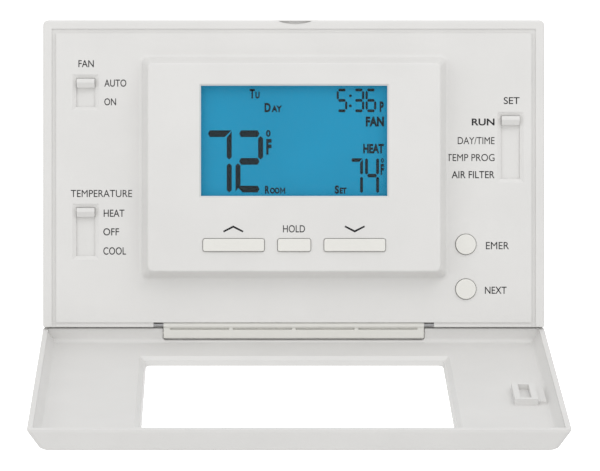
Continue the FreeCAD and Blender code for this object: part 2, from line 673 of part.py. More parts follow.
# ---------------------------------------------------------------------------------------------
# Door, modelled closed about the hinge axis and then turned open
# ---------------------------------------------------------------------------------------------
DOOR_BACK = "(axis_inset + door_gap)"
DOOR_FRONT = "(axis_inset + door_depth)"
DOOR_INSIDE = "(axis_inset + door_depth - door_face)"
DOOR_LOW = "(-axis_height)"
DOOR_HIGH = "(case_height - axis_height)"
BEZEL_MIDDLE = "(bezel_centre + case_height / 2 - axis_height)"


def hang_on_hinge(body):
    """Place a piece that is modelled about the hinge axis, with the door open."""
    body.Placement.Rotation = FreeCAD.Rotation(FreeCAD.Vector(1, 0, 0), 1)
    body.setExpression("Placement.Rotation.Angle", bound("door_angle * 1 deg"))
    body.setExpression("Placement.Base.y", bound("-%s" % AXIS_DEPTH))
    body.setExpression("Placement.Base.z", bound(AXIS_Z))


def tray_outline(side_inset, far_inset, low_inset):
    """The door's outline, inset on the left and right, on the far side and on the hinge side."""
    half = "case_width / 2 - (%s)" % side_inset
    low = "%s + (%s)" % (DOOR_LOW, low_inset)
    high = "%s - (%s)" % (DOOR_HIGH, far_inset)
    return rectangle("-(%s)" % half, half, low, high)


def window_outline(growth):
    size = "2 * (window_gap + %s)" % growth
    return centred("0", BEZEL_MIDDLE, "bezel_width + " + size, "bezel_height + " + size)


def make_door():
    body = new_body("door")
    straight_end = "%s + door_straight" % DOOR_BACK
    full = [tray_outline("0", "0", "0")]
    corner = "case_corner"
    straight = sketch_on(body, "XZ_Plane", DOOR_BACK, full, corner=corner)
    pad(body, straight, "door_straight", "straight_walls")
    wide = sketch_on(body, "XZ_Plane", straight_end, full, corner=corner)
    shoulder = [tray_outline("door_bevel - 0.4", "far_bevel - 0.4", "0")]
    narrow = sketch_on(body, "XZ_Plane", DOOR_FRONT + " - 0.6", shoulder, corner=corner)
    face = [tray_outline("door_bevel + 0.4", "far_bevel + 0.3", "0.5")]
    flat = sketch_on(body, "XZ_Plane", DOOR_FRONT, face, corner=corner)
    loft(body, "AdditiveLoft", "bevelled_walls", [wide, narrow, flat])

    # hollow of the tray, with the same bevel
    wall = "door_wall"
    mouth = sketch_on(body, "XZ_Plane", DOOR_BACK, [tray_outline(wall, wall, wall)])
    pocket(body, mouth, "door_straight", "tray_mouth", forward=True)
    share = "(door_depth - door_face - door_gap - door_straight) / (door_depth - door_gap - door_straight)"
    inner_wide = sketch_on(body, "XZ_Plane", straight_end + " - 0.001", [tray_outline(wall, wall, wall)])
    inner_narrow = sketch_on(body, "XZ_Plane", DOOR_INSIDE, [
        tray_outline(wall + " + door_bevel * " + share, wall + " + far_bevel * " + share, wall)])
    loft(body, "SubtractiveLoft", "tray", [inner_wide, inner_narrow])
    inside = -number_of(DOOR_INSIDE)
    dress(body, "Fillet", "floor_radius", lambda edge: lies_at(edge, y=inside), "floor_rounding")

    # window with a sloped margin
    margin_wide = sketch_on(body, "XZ_Plane", DOOR_INSIDE + " - 0.001",
                            [window_outline("bezel_draft / 3 + margin_width")])
    margin_narrow = sketch_on(body, "XZ_Plane", DOOR_INSIDE + " + margin_depth",
                              [window_outline("bezel_draft / 3")])
    loft(body, "SubtractiveLoft", "window_margin", [margin_wide, margin_narrow])
    window_inner = sketch_on(body, "XZ_Plane", DOOR_INSIDE, [window_outline("bezel_draft / 3")])
    window_outer = sketch_on(body, "XZ_Plane", DOOR_FRONT + " + 0.001", [window_outline("0")])
    loft(body, "SubtractiveLoft", "window", [window_inner, window_outer])
    dress(body, "Fillet", "bezel_corner", is_window_corner, "window_corners")

    # block that meets the program switch
    left = "catch_centre - catch_width / 2"
    right = "catch_centre + catch_width / 2"
    catch = rectangle(left, right, "catch_end - catch_length", "catch_end")
    pad(body, sketch_on(body, "XZ_Plane", DOOR_INSIDE + " - catch_height", [catch]), "catch_height + 0.5",
        "catch")
    step = rectangle(right + " - 0.5", right + " + 2.4", "catch_end - catch_length + 0.6", "catch_end - 1.2")
    pad(body, sketch_on(body, "XZ_Plane", DOOR_INSIDE + " - 0.8", [step]), "1.3", "catch_step")
    catch_pocket = rectangle(left + " + 1.65", left + " + 4.7", "catch_end - catch_length + 1.2",
                             "catch_end - 1.4")
    pocket(body, sketch_on(body, "XZ_Plane", DOOR_INSIDE + " - catch_height", [catch_pocket]),
           "catch_height - 0.3", "catch_pocket", forward=True)

    # notch for the hinge leaf, and holes for its pegs
    half_notch = "leaf_length / 2 + 0.25"
    notch = rectangle("-(%s)" % half_notch, half_notch, "-(leaf_reach + 0.7)", "-(axis_inset - 1)")
    pocket(body, sketch_on(body, "XY_Plane", "door_wall - axis_height + 0.6", [notch]),
           "door_wall + 0.6 - notch_floor", "leaf_notch")
    notch_end = -number_of("leaf_reach + 0.7")
    dress(body, "Fillet", "0.9", lambda edge: runs_along(edge, "z") and lies_at(edge, y=notch_end),
          "notch_corners")
    pegs = sketch_on(body, "YZ_Plane", "-(leaf_length / 2 + 1.3)", circles=[("-2.6", "-0.45", "0.35")])
    pocket(body, pegs, "leaf_length + 2.6", "peg_holes", forward=True)
    dress(body, "Fillet", "0.12",
          lambda edge: runs_along(edge, "x") and lies_at(edge, y=-number_of(DOOR_BACK)),
          "rim_rounding")
    hang_on_hinge(body)
    return body


def is_window_corner(edge):
    points = ends(edge)
    if len(points) < 2:
        return False
    step = points[1] - points[0]
    near_window = all(abs(point.x) < number_of("bezel_width / 2 + 3") for point in points)
    return abs(step.y) > 1.0 and near_window and abs(step.x) < 2


def make_hinge_leaf():
    body = new_body("hinge_leaf")
    half = "leaf_length / 2"
    barrel = sketch_on(body, "YZ_Plane", "-(%s)" % half, circles=[("0", "0", "barrel_radius")])
    pad(body, barrel, "leaf_length", "barrel")
    blade = rectangle("-leaf_reach", "-0.1", "-leaf_outer", "leaf_inner")
    pad(body, sketch_on(body, "YZ_Plane", "-(%s)" % half, [blade]), "leaf_length", "blade")
    reach = -number_of("leaf_reach")
    dress(body, "Fillet", "0.3", lambda edge: runs_along(edge, "x") and lies_at(edge, y=reach),
          "edge_rounding")
    slots = []
    slot_pitch = "leaf_length / 4.15"
    for index in range(4):
        centre = "(%s) * (%.1f)" % (slot_pitch, index - 1.5)
        slots.append(centred(centre, "-1.0", slot_pitch + " - 1.1", "0.8"))
    pocket(body, sketch_on(body, "XY_Plane", "leaf_inner", slots), "0.7", "leaf_slots")
    pegs = sketch_on(body, "YZ_Plane", "-(%s + 1.1)" % half, circles=[("-2.6", "-0.45", "0.32")])
    pad(body, pegs, "leaf_length + 2.2", "pegs")
    bore = sketch_on(body, "YZ_Plane", "-(%s + 1)" % half, circles=[("0", "0", "pin_radius + running_gap")])
    pocket(body, bore, "leaf_length + 2", "pin_bore", forward=True)
    hang_on_hinge(body)
    return body


make_door()
make_hinge_leaf()
reach_of_pin = RECESS_HALF + " + pin_seat - seat_gap"
keep(bar("hinge_pin", ("-(%s)" % reach_of_pin, reach_of_pin), AXIS_DEPTH, AXIS_Z, "pin_radius"), "hinge_pin")


# ---------------------------------------------------------------------------------------------
# Keys and their rubber mats
# ---------------------------------------------------------------------------------------------
KEY_BACK = "(%s - seat_gap - flange_thickness)" % BEZEL_INSIDE
ROUND_KEY_BACK = "(%s - seat_gap - flange_thickness)" % FRONT_INSIDE
DOME_TOP = "(%s - 2)" % KEY_BACK


def make_bar_key(label, middle_x, width):
    body = new_body(label)
    flange = centred(middle_x, "key_row", "%s + 2 * key_flange" % width, "key_height + 2 * key_flange")
    pad(body, sketch_on(body, "XZ_Plane", KEY_BACK, [flange]), "flange_thickness", "flange")
    cap = centred(middle_x, "key_row", width, "key_height")
    pad(body, sketch_on(body, "XZ_Plane", KEY_BACK, [cap]),
        "flange_thickness + seat_gap + bezel_wall + key_rise", "cap")
    front = -number_of("%s + key_rise" % BEZEL_FACE)
    dress(body, "Fillet", "key_corner", lambda edge: runs_along(edge, "y") and
          any(abs(point.y - front) < 1e-3 for point in ends(edge)), "cap_corners")
    dress(body, "Fillet", "key_edge", lambda edge: lies_at(edge, y=front), "cap_rounding")
    stem = sketch_on(body, "XZ_Plane", DOME_TOP + " + seat_gap", circles=[(middle_x, "key_row", "1.6")])
    pad(body, stem, "%s - %s - seat_gap + 0.3" % (KEY_BACK, DOME_TOP), "stem")
    return body


def make_round_key(label, row):
    body = new_body(label)
    flange = [(ROUND_COLUMN, row, "round_key_radius + key_flange")]
    cap = [(ROUND_COLUMN, row, "round_key_radius")]
    pad(body, sketch_on(body, "XZ_Plane", ROUND_KEY_BACK, circles=flange), "flange_thickness", "flange")
    pad(body, sketch_on(body, "XZ_Plane", ROUND_KEY_BACK, circles=cap),
        "flange_thickness + seat_gap + front_thickness + fascia_rise + key_rise", "cap")
    front = -number_of("%s + key_rise" % FASCIA)
    dress(body, "Fillet", "key_edge", lambda edge: lies_at(edge, y=front), "cap_rounding")
    return body


for name, middle_x, width in BAR_KEYS:
    make_bar_key(name, middle_x, width)
for name, row in ROUND_KEYS:
    make_round_key(name, row)

mat_sheet = block("main_mat", middle("0", "2 * key_spacing + 2 * dome_radius + 6"),
                  (BOARD_FRONT + " + seat_gap", BOARD_FRONT + " + mat_thickness"), middle("key_row", "9"))
domes = [rod("dome_" + name, x, "key_row", (BOARD_FRONT + " + mat_thickness - 0.2", DOME_TOP), "dome_radius")
         for name, x, width in BAR_KEYS]
keep(fused("main_keypad_shape", [mat_sheet] + domes), "main_keypad")
side_sheet = block("side_mat", middle(ROUND_COLUMN, "9"),
                   (BOARD_FRONT + " + seat_gap", BOARD_FRONT + " + side_mat_thickness"),
                   ("next_row - 3.2", "emer_row + 4"))
side_domes = [rod("dome_" + name, ROUND_COLUMN, row,
                  (BOARD_FRONT + " + side_mat_thickness - 0.2", ROUND_KEY_BACK + " - seat_gap"), "2")
              for name, row in ROUND_KEYS]
keep(fused("side_keypad_shape", [side_sheet] + side_domes), "side_keypad")


# ---------------------------------------------------------------------------------------------
# Slide switches: a knob on a long plate that covers the slot in every position, and its wiper
# ---------------------------------------------------------------------------------------------
PLATE_FRONT = "(%s + guide_depth - seat_gap)" % FRONT_INSIDE
PLATE_BACK = "(%s - plate_thickness)" % PLATE_FRONT
KNOB_TOP = "(%s + knob_rise)" % FASCIA


def make_slide(label, column, top, travel):
    body = new_body(label + "_knob")
    low, high = plate_rows(top, travel)
    plate = rectangle("%s - plate_width / 2" % column, "%s + plate_width / 2" % column, low, high)
    pad(body, sketch_on(body, "XZ_Plane", PLATE_BACK, [plate]), "plate_thickness", "plate")
    half = "knob_height / 2"
    profile = [("-(%s)" % PLATE_BACK, "%s - %s" % (top, half)),
               ("-(%s - 0.9)" % KNOB_TOP, "%s - %s" % (top, half)),
               ("-(%s)" % KNOB_TOP, "%s + 0.1" % top), ("-(%s)" % KNOB_TOP, "%s + 0.1 + knob_ridge" % top),
               ("-(%s - 0.6)" % KNOB_TOP, "%s + %s" % (top, half)),
               ("-(%s)" % PLATE_BACK, "%s + %s" % (top, half))]
    knob = sketch_on(body, "YZ_Plane", "%s - slot_width / 2 + fit_gap" % column, [profile])
    pad(body, knob, "slot_width - 2 * fit_gap", "knob")
    ridge = -number_of(KNOB_TOP)
    dress(body, "Fillet", "0.22", lambda edge: runs_along(edge, "x") and lies_at(edge, y=ridge),
          "ridge_rounding")
    feet = [rectangle("%s - plate_width / 2" % column, "%s + plate_width / 2" % column, low, "%s + 2" % low),
            rectangle("%s - plate_width / 2" % column, "%s + plate_width / 2" % column, "%s - 2" % high,
                      high)]
    pad(body, sketch_on(body, "XZ_Plane", BOARD_FRONT + " + seat_gap", feet),
        "%s - %s - seat_gap + 0.2" % (PLATE_BACK, BOARD_FRONT), "feet")

    wiper = new_body(label + "_wiper")
    near = "(%s - 0.02)" % PLATE_BACK
    far = "(%s + 0.06)" % BOARD_FRONT
    strip = [("-(%s)" % near, "%s - 3" % top), ("-(%s - 0.25)" % near, "%s - 3" % top),
             ("-(%s - 0.25)" % near, "%s - 1.2" % top), ("-(%s)" % far, "%s + 1.0" % top),
             ("-(%s)" % far, "%s + 1.6" % top), ("-(%s + 0.25)" % far, "%s + 1.6" % top),
             ("-(%s + 0.25)" % far, "%s + 1.15" % top), ("-(%s)" % near, "%s - 1.1" % top)]
    pad(wiper, sketch_on(wiper, "YZ_Plane", "%s - 1.5" % column, [strip]), "3", "strip")


for name, column, top, travel in SWITCHES:
    make_slide(name, column, top, travel)


# ---------------------------------------------------------------------------------------------
# Display stack
# ---------------------------------------------------------------------------------------------
lens = block("lens_sheet", middle("0", "screen_width + 2 * lens_lip"),
             (LENS_BACK, BEZEL_INSIDE + " - seat_gap"),
             middle("screen_centre", "screen_height + 2 * (lens_lip - 1)"))
keep(rounded("lens_shape", lens, "1", lambda edge: runs_along(edge, "y")), "display_lens")
keep(block("display_glass", middle("0", "screen_width + 2 * glass_lip"), (GLASS_BACK, GLASS_FRONT),
           middle("screen_centre", "screen_height + 2 * glass_lip")), "display_glass")
guide_front = "%s - seat_gap" % GLASS_BACK
keep(block("light_guide", middle("0", "screen_width + 1"), (guide_front + " - guide_thickness", guide_front),
           middle("screen_centre", "screen_height")), "light_guide")

strips = []
for side in ("-", "+"):
    strips.append(block("contact_strip", middle("0", "screen_width"),
                        (BOARD_FRONT + " + seat_gap", guide_front),
                        middle("screen_centre %s (screen_height / 2 + 0.3 + strip_width / 2)" % side,
                               "strip_width")))
keep(group("contact_strips_shape", strips), "contact_strips")

frame_depths = (BOARD_FRONT + " + seat_gap", GLASS_FRONT + " - seat_gap")
frame_outer = block("frame_outer", middle("0", "screen_width + 2 * (glass_lip + frame_wall + 0.3)"),
                    frame_depths,
                    middle("screen_centre", "screen_height + 2 * (glass_lip + frame_wall + 0.3)"))
frame_inner = block("frame_inner", middle("0", "screen_width + 2 * (glass_lip + 0.3)"),
                    ("%s - 1" % frame_depths[0], "%s + 1" % frame_depths[1]),
                    middle("screen_centre", "screen_height + 2 * (glass_lip + 0.3)"))
keep(cut("display_frame_shape", frame_outer, frame_inner), "display_frame")

leds = []
for z in ("screen_centre - 8", "screen_centre", "screen_centre + 8"):
    leds.append(block("led", ("-(screen_width / 2 + 2.2)", "-(screen_width / 2 + 0.8)"),
                      (BOARD_FRONT + " + 0.02", BOARD_FRONT + " + 2.6"), middle(z, "2.4")))
keep(group("backlight_leds_shape", leds), "backlight_leds")


# ---------------------------------------------------------------------------------------------
# Main board and what is soldered to its back
# ---------------------------------------------------------------------------------------------
board_sheet = block("board_sheet", middle("0", "board_width"), (BOARD_BACK, BOARD_FRONT),
                    middle("0", "board_height"))
board_holes = [rod("board_hole", x, z, (BOARD_BACK + " - 1", BOARD_FRONT + " + 1"),
                   "board_screw_radius + 0.15")
               for x, z in BOARD_POSTS]


def pin_column(index):
    """Middle of one terminal, counted from the left."""
    offset = index - (number_of("terminal_count") - 1) / 2
    return "terminal_column + (%.1f) * terminal_pitch" % offset


TERMINALS = range(int(number_of("terminal_count")))
PIN_ROW = "(terminal_row + terminal_height / 2 - 2.2)"
pin_holes = [rod("pin_hole", pin_column(index), PIN_ROW, (BOARD_BACK + " - 1", BOARD_FRONT + " + 1"),
                 "contact_pin_radius + 0.05") for index in TERMINALS]
keep(cut("main_board_shape", board_sheet, fused("board_hole_set", board_holes + pin_holes)), "main_board")

screws = []
for x, z in BOARD_POSTS:
    shank = rod("board_screw_shank", x, z, (BOARD_BACK + " - 0.3", BOARD_FRONT + " + board_gap + 0.7"),
                "board_screw_radius - 0.02")
    head = rod("board_screw_head", x, z, (BOARD_BACK + " - 1.3", BOARD_BACK + " - 0.02"), "1.7")
    screws.append(fused("board_screw", [shank, head]))
keep(group("board_screws_shape", screws), "board_screws")

relays = []
for x in ("-50", "-35", "-20"):
    case = block("relay_case", middle(x, "relay_width"),
                 (BOARD_BACK + " - relay_depth", BOARD_BACK + " - 0.05"),
                 middle("20", "relay_height"))
    relays.append(rounded("relay", case, "0.6",
                          lambda edge: not lies_at(edge, y=-number_of(BOARD_BACK) + 0.05)))
keep(group("relays_shape", relays), "relays")

chip = block("chip_body", middle("30", "12"), (BOARD_BACK + " - 1.6", BOARD_BACK + " - 0.2"),
             middle("12", "12"))
chip_legs = []
for index in range(10):
    offset = (index - 4.5) * 1.0
    for side in ("-", "+"):
        chip_legs.append(block("chip_leg", middle("30 %s 6.5" % side, "1.4"),
                               (BOARD_BACK + " - 0.8", BOARD_BACK + " - 0.02"),
                               middle("12 + (%.1f)" % offset, "0.45")))
        chip_legs.append(block("chip_leg", middle("30 + (%.1f)" % offset, "0.45"),
                               (BOARD_BACK + " - 0.8", BOARD_BACK + " - 0.02"),
                               middle("12 %s 6.5" % side, "1.4")))
keep(fused("processor_shape", [chip] + chip_legs), "processor")
keep(rounded("crystal_shape",
             block("crystal_can", middle("45", "9"), (BOARD_BACK + " - 3.6", BOARD_BACK + " - 0.05"),
                                    middle("10", "3.6")), "1.6",
             lambda edge: runs_along(edge, "y")), "crystal")
capacitors = []
for x, z in (("46", "24"), ("55", "24"), ("60", "12")):
    can = rod("capacitor_can", x, z, (BOARD_BACK + " - 9", BOARD_BACK + " - 0.05"), "3.1")
    capacitors.append(rounded("capacitor", can, "0.4", lambda edge: True))
keep(group("capacitors_shape", capacitors), "capacitors")
bead = rod("thermistor_bead", "66", "-29", (BOARD_BACK + " - 6.5", BOARD_BACK + " - 4"), "1.4")
leads = [rod("thermistor_lead", "66 %s 0.7" % side, "-29", (BOARD_BACK + " - 4.4", BOARD_BACK + " - 0.05"),
             "0.25")
         for side in ("-", "+")]
keep(fused("thermistor_shape", [bead] + leads), "thermistor")

header = block("header_block", middle("terminal_column", "terminal_count * terminal_pitch"),
               (BOARD_BACK + " - 2.5", BOARD_BACK + " - 0.05"), middle(PIN_ROW, "2.6"))
header_holes = [rod("header_hole", pin_column(index), PIN_ROW, (BOARD_BACK + " - 3", BOARD_FRONT),
                    "contact_pin_radius + 0.02") for index in TERMINALS]
keep(cut("pin_header_shape", header, fused("header_hole_set", header_holes)), "pin_header")
TERMINAL_TOP = "(panel_thickness + terminal_rise)"
pins = [rod("header_pin", pin_column(index), PIN_ROW, (TERMINAL_TOP + " - 4", BOARD_FRONT + " - seat_gap"),
            "contact_pin_radius") for index in TERMINALS]
keep(group("header_pins_shape", pins), "header_pins")


# ---------------------------------------------------------------------------------------------
# Rear chassis with the battery well
# ---------------------------------------------------------------------------------------------
def make_rear_chassis():
    body = new_body("rear_chassis")
    panel = centred("0", "0", "case_width - 2 * (case_wall + chassis_gap)",
                    "case_height - 2 * (case_wall + chassis_gap)")
    pad(body, sketch_on(body, "XZ_Plane", "chassis_back", [panel]), "chassis_thickness", "panel")
    well_height = "2 * (cell_radius + 0.3) + cell_spacing"
    well_front = "cell_depth + cell_radius + 0.2"
    well_out = centred("cell_column", "cell_row", "well_length + 2 * well_wall",
                       well_height + " + 2 * well_wall")
    pad(body, sketch_on(body, "XZ_Plane", "chassis_back", [well_out]),
        "%s + 1.1 - chassis_back" % well_front, "well")
    well_in = centred("cell_column", "cell_row", "well_length", well_height)
    pocket(body, sketch_on(body, "XZ_Plane", "chassis_back", [well_in]), "%s - chassis_back" % well_front,
           "well_hollow", forward=True)
    window = centred("terminal_column", "terminal_row", "terminal_count * terminal_pitch + 4.5",
                     "terminal_height + 4")
    hooks = [centred(x, z, "hook_width + 1", "hook_thickness + 2.4") for x, z in HOOKS]
    pocket(body, sketch_on(body, "XZ_Plane", CHASSIS_FRONT, [window] + hooks), "chassis_thickness + 1",
           "openings")
    holes = [(x, z, "chassis_screw_radius + 0.2") for x, z in CHASSIS_BOSSES]
    pocket(body, sketch_on(body, "XZ_Plane", CHASSIS_FRONT, circles=holes), "chassis_thickness + 1",
           "screw_holes")
    return body


HOOKS = (("-hook_column", "37.5"), ("hook_column", "37.5"), ("-hook_column - 12", "-40.6"),
         ("hook_column - 10", "-40.6"))
make_rear_chassis()

screws = []
for x, z in CHASSIS_BOSSES:
    shank = rod("chassis_screw_shank", x, z, ("chassis_back - 0.5", CHASSIS_FRONT + " + 7"),
                "chassis_screw_radius - 0.02")
    head = rod("chassis_screw_head", x, z, ("chassis_back - 1.7", "chassis_back - 0.02"), "2.2")
    slot_a = block("driver_slot", middle(x, "2.6"), ("chassis_back - 2.5", "chassis_back - 0.9"),
                   middle(z, "0.6"))
    slot_b = block("driver_slot", middle(x, "0.6"), ("chassis_back - 2.5", "chassis_back - 0.9"),
                   middle(z, "2.6"))
    screws.append(cut("chassis_screw", fused("screw_blank", [shank, head]),
                      fused("driver_cross", [slot_a, slot_b])))
keep(group("chassis_screws_shape", screws), "chassis_screws")

# The cells lie opposite ways round: sign is +1 where the nub points right
for label, row, sign in (("battery_upper", CELL_ROWS[0], 1), ("battery_lower", CELL_ROWS[1], -1)):
    can = bar(label + "_can", ("cell_column - cell_length / 2", "cell_column + cell_length / 2"),
              "cell_depth", row,
              "cell_radius")
    can = rounded(label + "_body", can, "0.5", lambda edge: True)
    if sign > 0:
        nub_rows = ("cell_column + cell_length / 2 - 0.2", "cell_column + cell_length / 2 + nub_length")
    else:
        nub_rows = ("cell_column - cell_length / 2 - nub_length", "cell_column - cell_length / 2 + 0.2")
    nub = bar(label + "_nub", nub_rows, "cell_depth", row, "nub_radius")
    keep(fused(label + "_shape", [can, nub]), label)


def make_battery_contact(row, side, touches_nub):
    """A plate on the end wall of the well with a raised bump or a bent leaf."""
    sign = "+" if side > 0 else "-"
    wall = "cell_column %s (well_length / 2 - 0.05)" % sign
    inner = "cell_column %s (well_length / 2 - 0.05 - contact_thickness)" % sign
    limits = (inner, wall) if side > 0 else (wall, inner)
    plate = block("contact_plate", limits, ("cell_depth - 5", "cell_depth + 6"), middle(row, "10"))
    cell_end = "cell_length / 2 + %s + 0.05" % ("nub_length" if touches_nub else "0")
    tip = "cell_column %s (%s)" % (sign, cell_end)
    limits = (tip, inner) if side > 0 else (inner, tip)
    bump = bar("contact_bump", limits, "cell_depth", row, "2.2" if touches_nub else "3.2")
    return fused("battery_contact", [plate, bump])


contacts = [make_battery_contact(CELL_ROWS[0], 1, True), make_battery_contact(CELL_ROWS[0], -1, False),
            make_battery_contact(CELL_ROWS[1], 1, False), make_battery_contact(CELL_ROWS[1], -1, True)]
keep(group("battery_contacts_shape", contacts), "battery_contacts")


# ---------------------------------------------------------------------------------------------
# Wall plate and terminals
# ---------------------------------------------------------------------------------------------
def make_wall_plate():
    body = new_body("wall_plate")
    outer_width = "case_width - 2 * (case_wall + plate_gap)"
    outer_height = "case_height - 2 * (case_wall + plate_gap)"
    outline = centred("0", "0", outer_width, outer_height)
    pad(body, sketch_on(body, "XZ_Plane", "0", [outline]), "rim_height", "plate")
    dress(body, "Fillet", "1.5", lambda edge: runs_along(edge, "y"), "corners")
    inner = centred("0", "0", outer_width + " - 2 * rim_thickness", outer_height + " - 2 * rim_thickness")
    pocket(body, sketch_on(body, "XZ_Plane", "panel_thickness", [inner]), "rim_height - panel_thickness",
           "dish",
           forward=True)
    wires = centred("wire_column", "wire_row", "wire_width", "wire_height")
    pocket(body, sketch_on(body, "XZ_Plane", "panel_thickness", [wires]), "panel_thickness + 1",
           "wire_opening")
    wire_edges = number_of("wire_width / 2") + 0.01
    dress(body, "Fillet", "2", lambda edge: runs_along(edge, "y") and all(
        abs(point.x - number_of("wire_column")) < wire_edges and
        abs(point.z - number_of("wire_row")) < number_of("wire_height / 2") + 0.01 for point in ends(edge)),
        "wire_corners")
    straight = "screw_slot_length - 2 * screw_slot_radius"
    for side in ("-", "+"):
        centre = "0 %s screw_spacing / 2" % side
        slot = sketch_on(body, "XZ_Plane", "panel_thickness",
                         [centred(centre, "0", straight, "2 * screw_slot_radius")])
        pocket(body, slot, "panel_thickness + 1", "screw_slot")
        for end in ("-", "+"):
            round_end = [("%s %s (%s) / 2" % (centre, end, straight), "0", "screw_slot_radius")]
            pocket(body, sketch_on(body, "XZ_Plane", "panel_thickness", circles=round_end),
                   "panel_thickness + 1",
                   "screw_slot_end")
    hooks = [centred(x, z, "hook_width", "hook_thickness") for x, z in HOOKS]
    hook_top = CHASSIS_FRONT + " + 1.8"
    pad(body, sketch_on(body, "XZ_Plane", "panel_thickness - 0.5", hooks),
        "%s - panel_thickness + 0.5" % hook_top,
        "hooks")
    barbs = []
    for x, z in HOOKS:
        sign = "-" if z.startswith("-") else "+"
        barbs.append(centred(x, "%s %s 0.5" % (z, "+" if sign == "-" else "-"), "hook_width",
                             "hook_thickness + 1"))
    pad(body, sketch_on(body, "XZ_Plane", hook_top + " - 1.4", barbs), "1.4", "barbs")
    return body


make_wall_plate()

TERMINAL_X = middle("terminal_column", "terminal_count * terminal_pitch")
TERMINAL_Z = middle("terminal_row", "terminal_height")
SCREW_ROW = "(terminal_row - terminal_height / 2 + 3.6)"
block_solid = block("terminal_solid", TERMINAL_X, ("panel_thickness + 0.02", TERMINAL_TOP), TERMINAL_Z)
cavities = []
for index in TERMINALS:
    x = pin_column(index)
    cavities.append(rod("pin_socket", x, PIN_ROW, (TERMINAL_TOP + " - 5", TERMINAL_TOP + " + 1"),
                        "contact_pin_radius + 0.15"))
    cavities.append(rod("screw_bore", x, SCREW_ROW, (TERMINAL_TOP + " - 7.5", TERMINAL_TOP + " + 1"),
                        "terminal_screw_radius + 0.1"))
    cavities.append(block("clamp_pocket", middle(x, "5.4"), (TERMINAL_TOP + " - 3", TERMINAL_TOP + " + 1"),
                          ("terminal_row - terminal_height / 2 - 1", SCREW_ROW + " + 2.9")))
keep(cut("terminal_block_shape", block_solid, fused("terminal_cavities", cavities)), "terminal_block")

screws = []
clamps = []
for index in TERMINALS:
    x = pin_column(index)
    shank = rod("terminal_shank", x, SCREW_ROW, (TERMINAL_TOP + " - 7", TERMINAL_TOP + " - 0.5"),
                "terminal_screw_radius")
    head = rod("terminal_head", x, SCREW_ROW, (TERMINAL_TOP + " - 1.4", TERMINAL_TOP + " + 0.3"),
               "terminal_head_radius")
    slot = block("terminal_driver_slot", middle(x, "5"), (TERMINAL_TOP + " - 0.5", TERMINAL_TOP + " + 1"),
                 middle(SCREW_ROW, "0.7"))
    screws.append(cut("terminal_screw", fused("terminal_blank", [shank, head]), slot))
    sheet_metal = block("clamp_sheet", middle(x, "5"), (TERMINAL_TOP + " - 2.9", TERMINAL_TOP + " - 1.45"),
                        (SCREW_ROW + " - 2.6", SCREW_ROW + " + 2.6"))
    hole = rod("clamp_hole", x, SCREW_ROW, (TERMINAL_TOP + " - 4", TERMINAL_TOP),
               "terminal_screw_radius + 0.15")
    clamps.append(cut("wire_clamp", sheet_metal, hole))
keep(group("terminal_screws_shape", screws), "terminal_screws")
keep(group("wire_clamps_shape", clamps), "wire_clamps")


# ---------------------------------------------------------------------------------------------
# Check and export
# ---------------------------------------------------------------------------------------------
CUTTERS = ("PartDesign::Pocket", "PartDesign::SubtractiveLoft")

doc.recompute()
faults = []
for item in doc.Objects:
    if "Invalid" in item.State or "Error" in item.State:
        faults.append("%s is %s" % (item.Label, item.State))
    if item.TypeId in CUTTERS and item.BaseFeature.Shape.Volume - item.Shape.Volume < 1e-4:
        faults.append("%s cuts nothing" % item.Label)
for item in parts:
    if item.Shape.isNull() or not item.Shape.isValid() or not item.Shape.Solids:
        faults.append("%s has no valid solid" % item.Label)
if faults:
    raise RuntimeError("; ".join(faults))

os.makedirs("parts", exist_ok=True)
for item in parts:
    item.Shape.exportStep("parts/%s.step" % item.Label)
    print(item.Label, len(item.Shape.Solids), "%.1f mm3" % item.Shape.Volume)
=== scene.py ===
"""Looks of the wall thermostat: materials, printed legends, the lit display, light and camera.

Everything stands in the row frame: metres, +Z up and -Y out of the wall, with the origin in the plane of
the wall, behind the middle of the case. Print is placed in millimetres, with X to the right and Z up.
"""
import math

import bmesh
import bpy
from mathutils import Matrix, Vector


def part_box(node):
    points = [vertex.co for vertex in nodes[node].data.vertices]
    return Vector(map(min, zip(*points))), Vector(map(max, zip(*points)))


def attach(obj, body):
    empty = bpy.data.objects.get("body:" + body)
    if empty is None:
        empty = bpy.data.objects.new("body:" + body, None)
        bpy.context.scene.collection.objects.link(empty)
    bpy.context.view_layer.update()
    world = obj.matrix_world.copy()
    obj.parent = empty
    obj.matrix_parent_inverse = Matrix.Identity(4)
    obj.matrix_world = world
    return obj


MM = 0.001

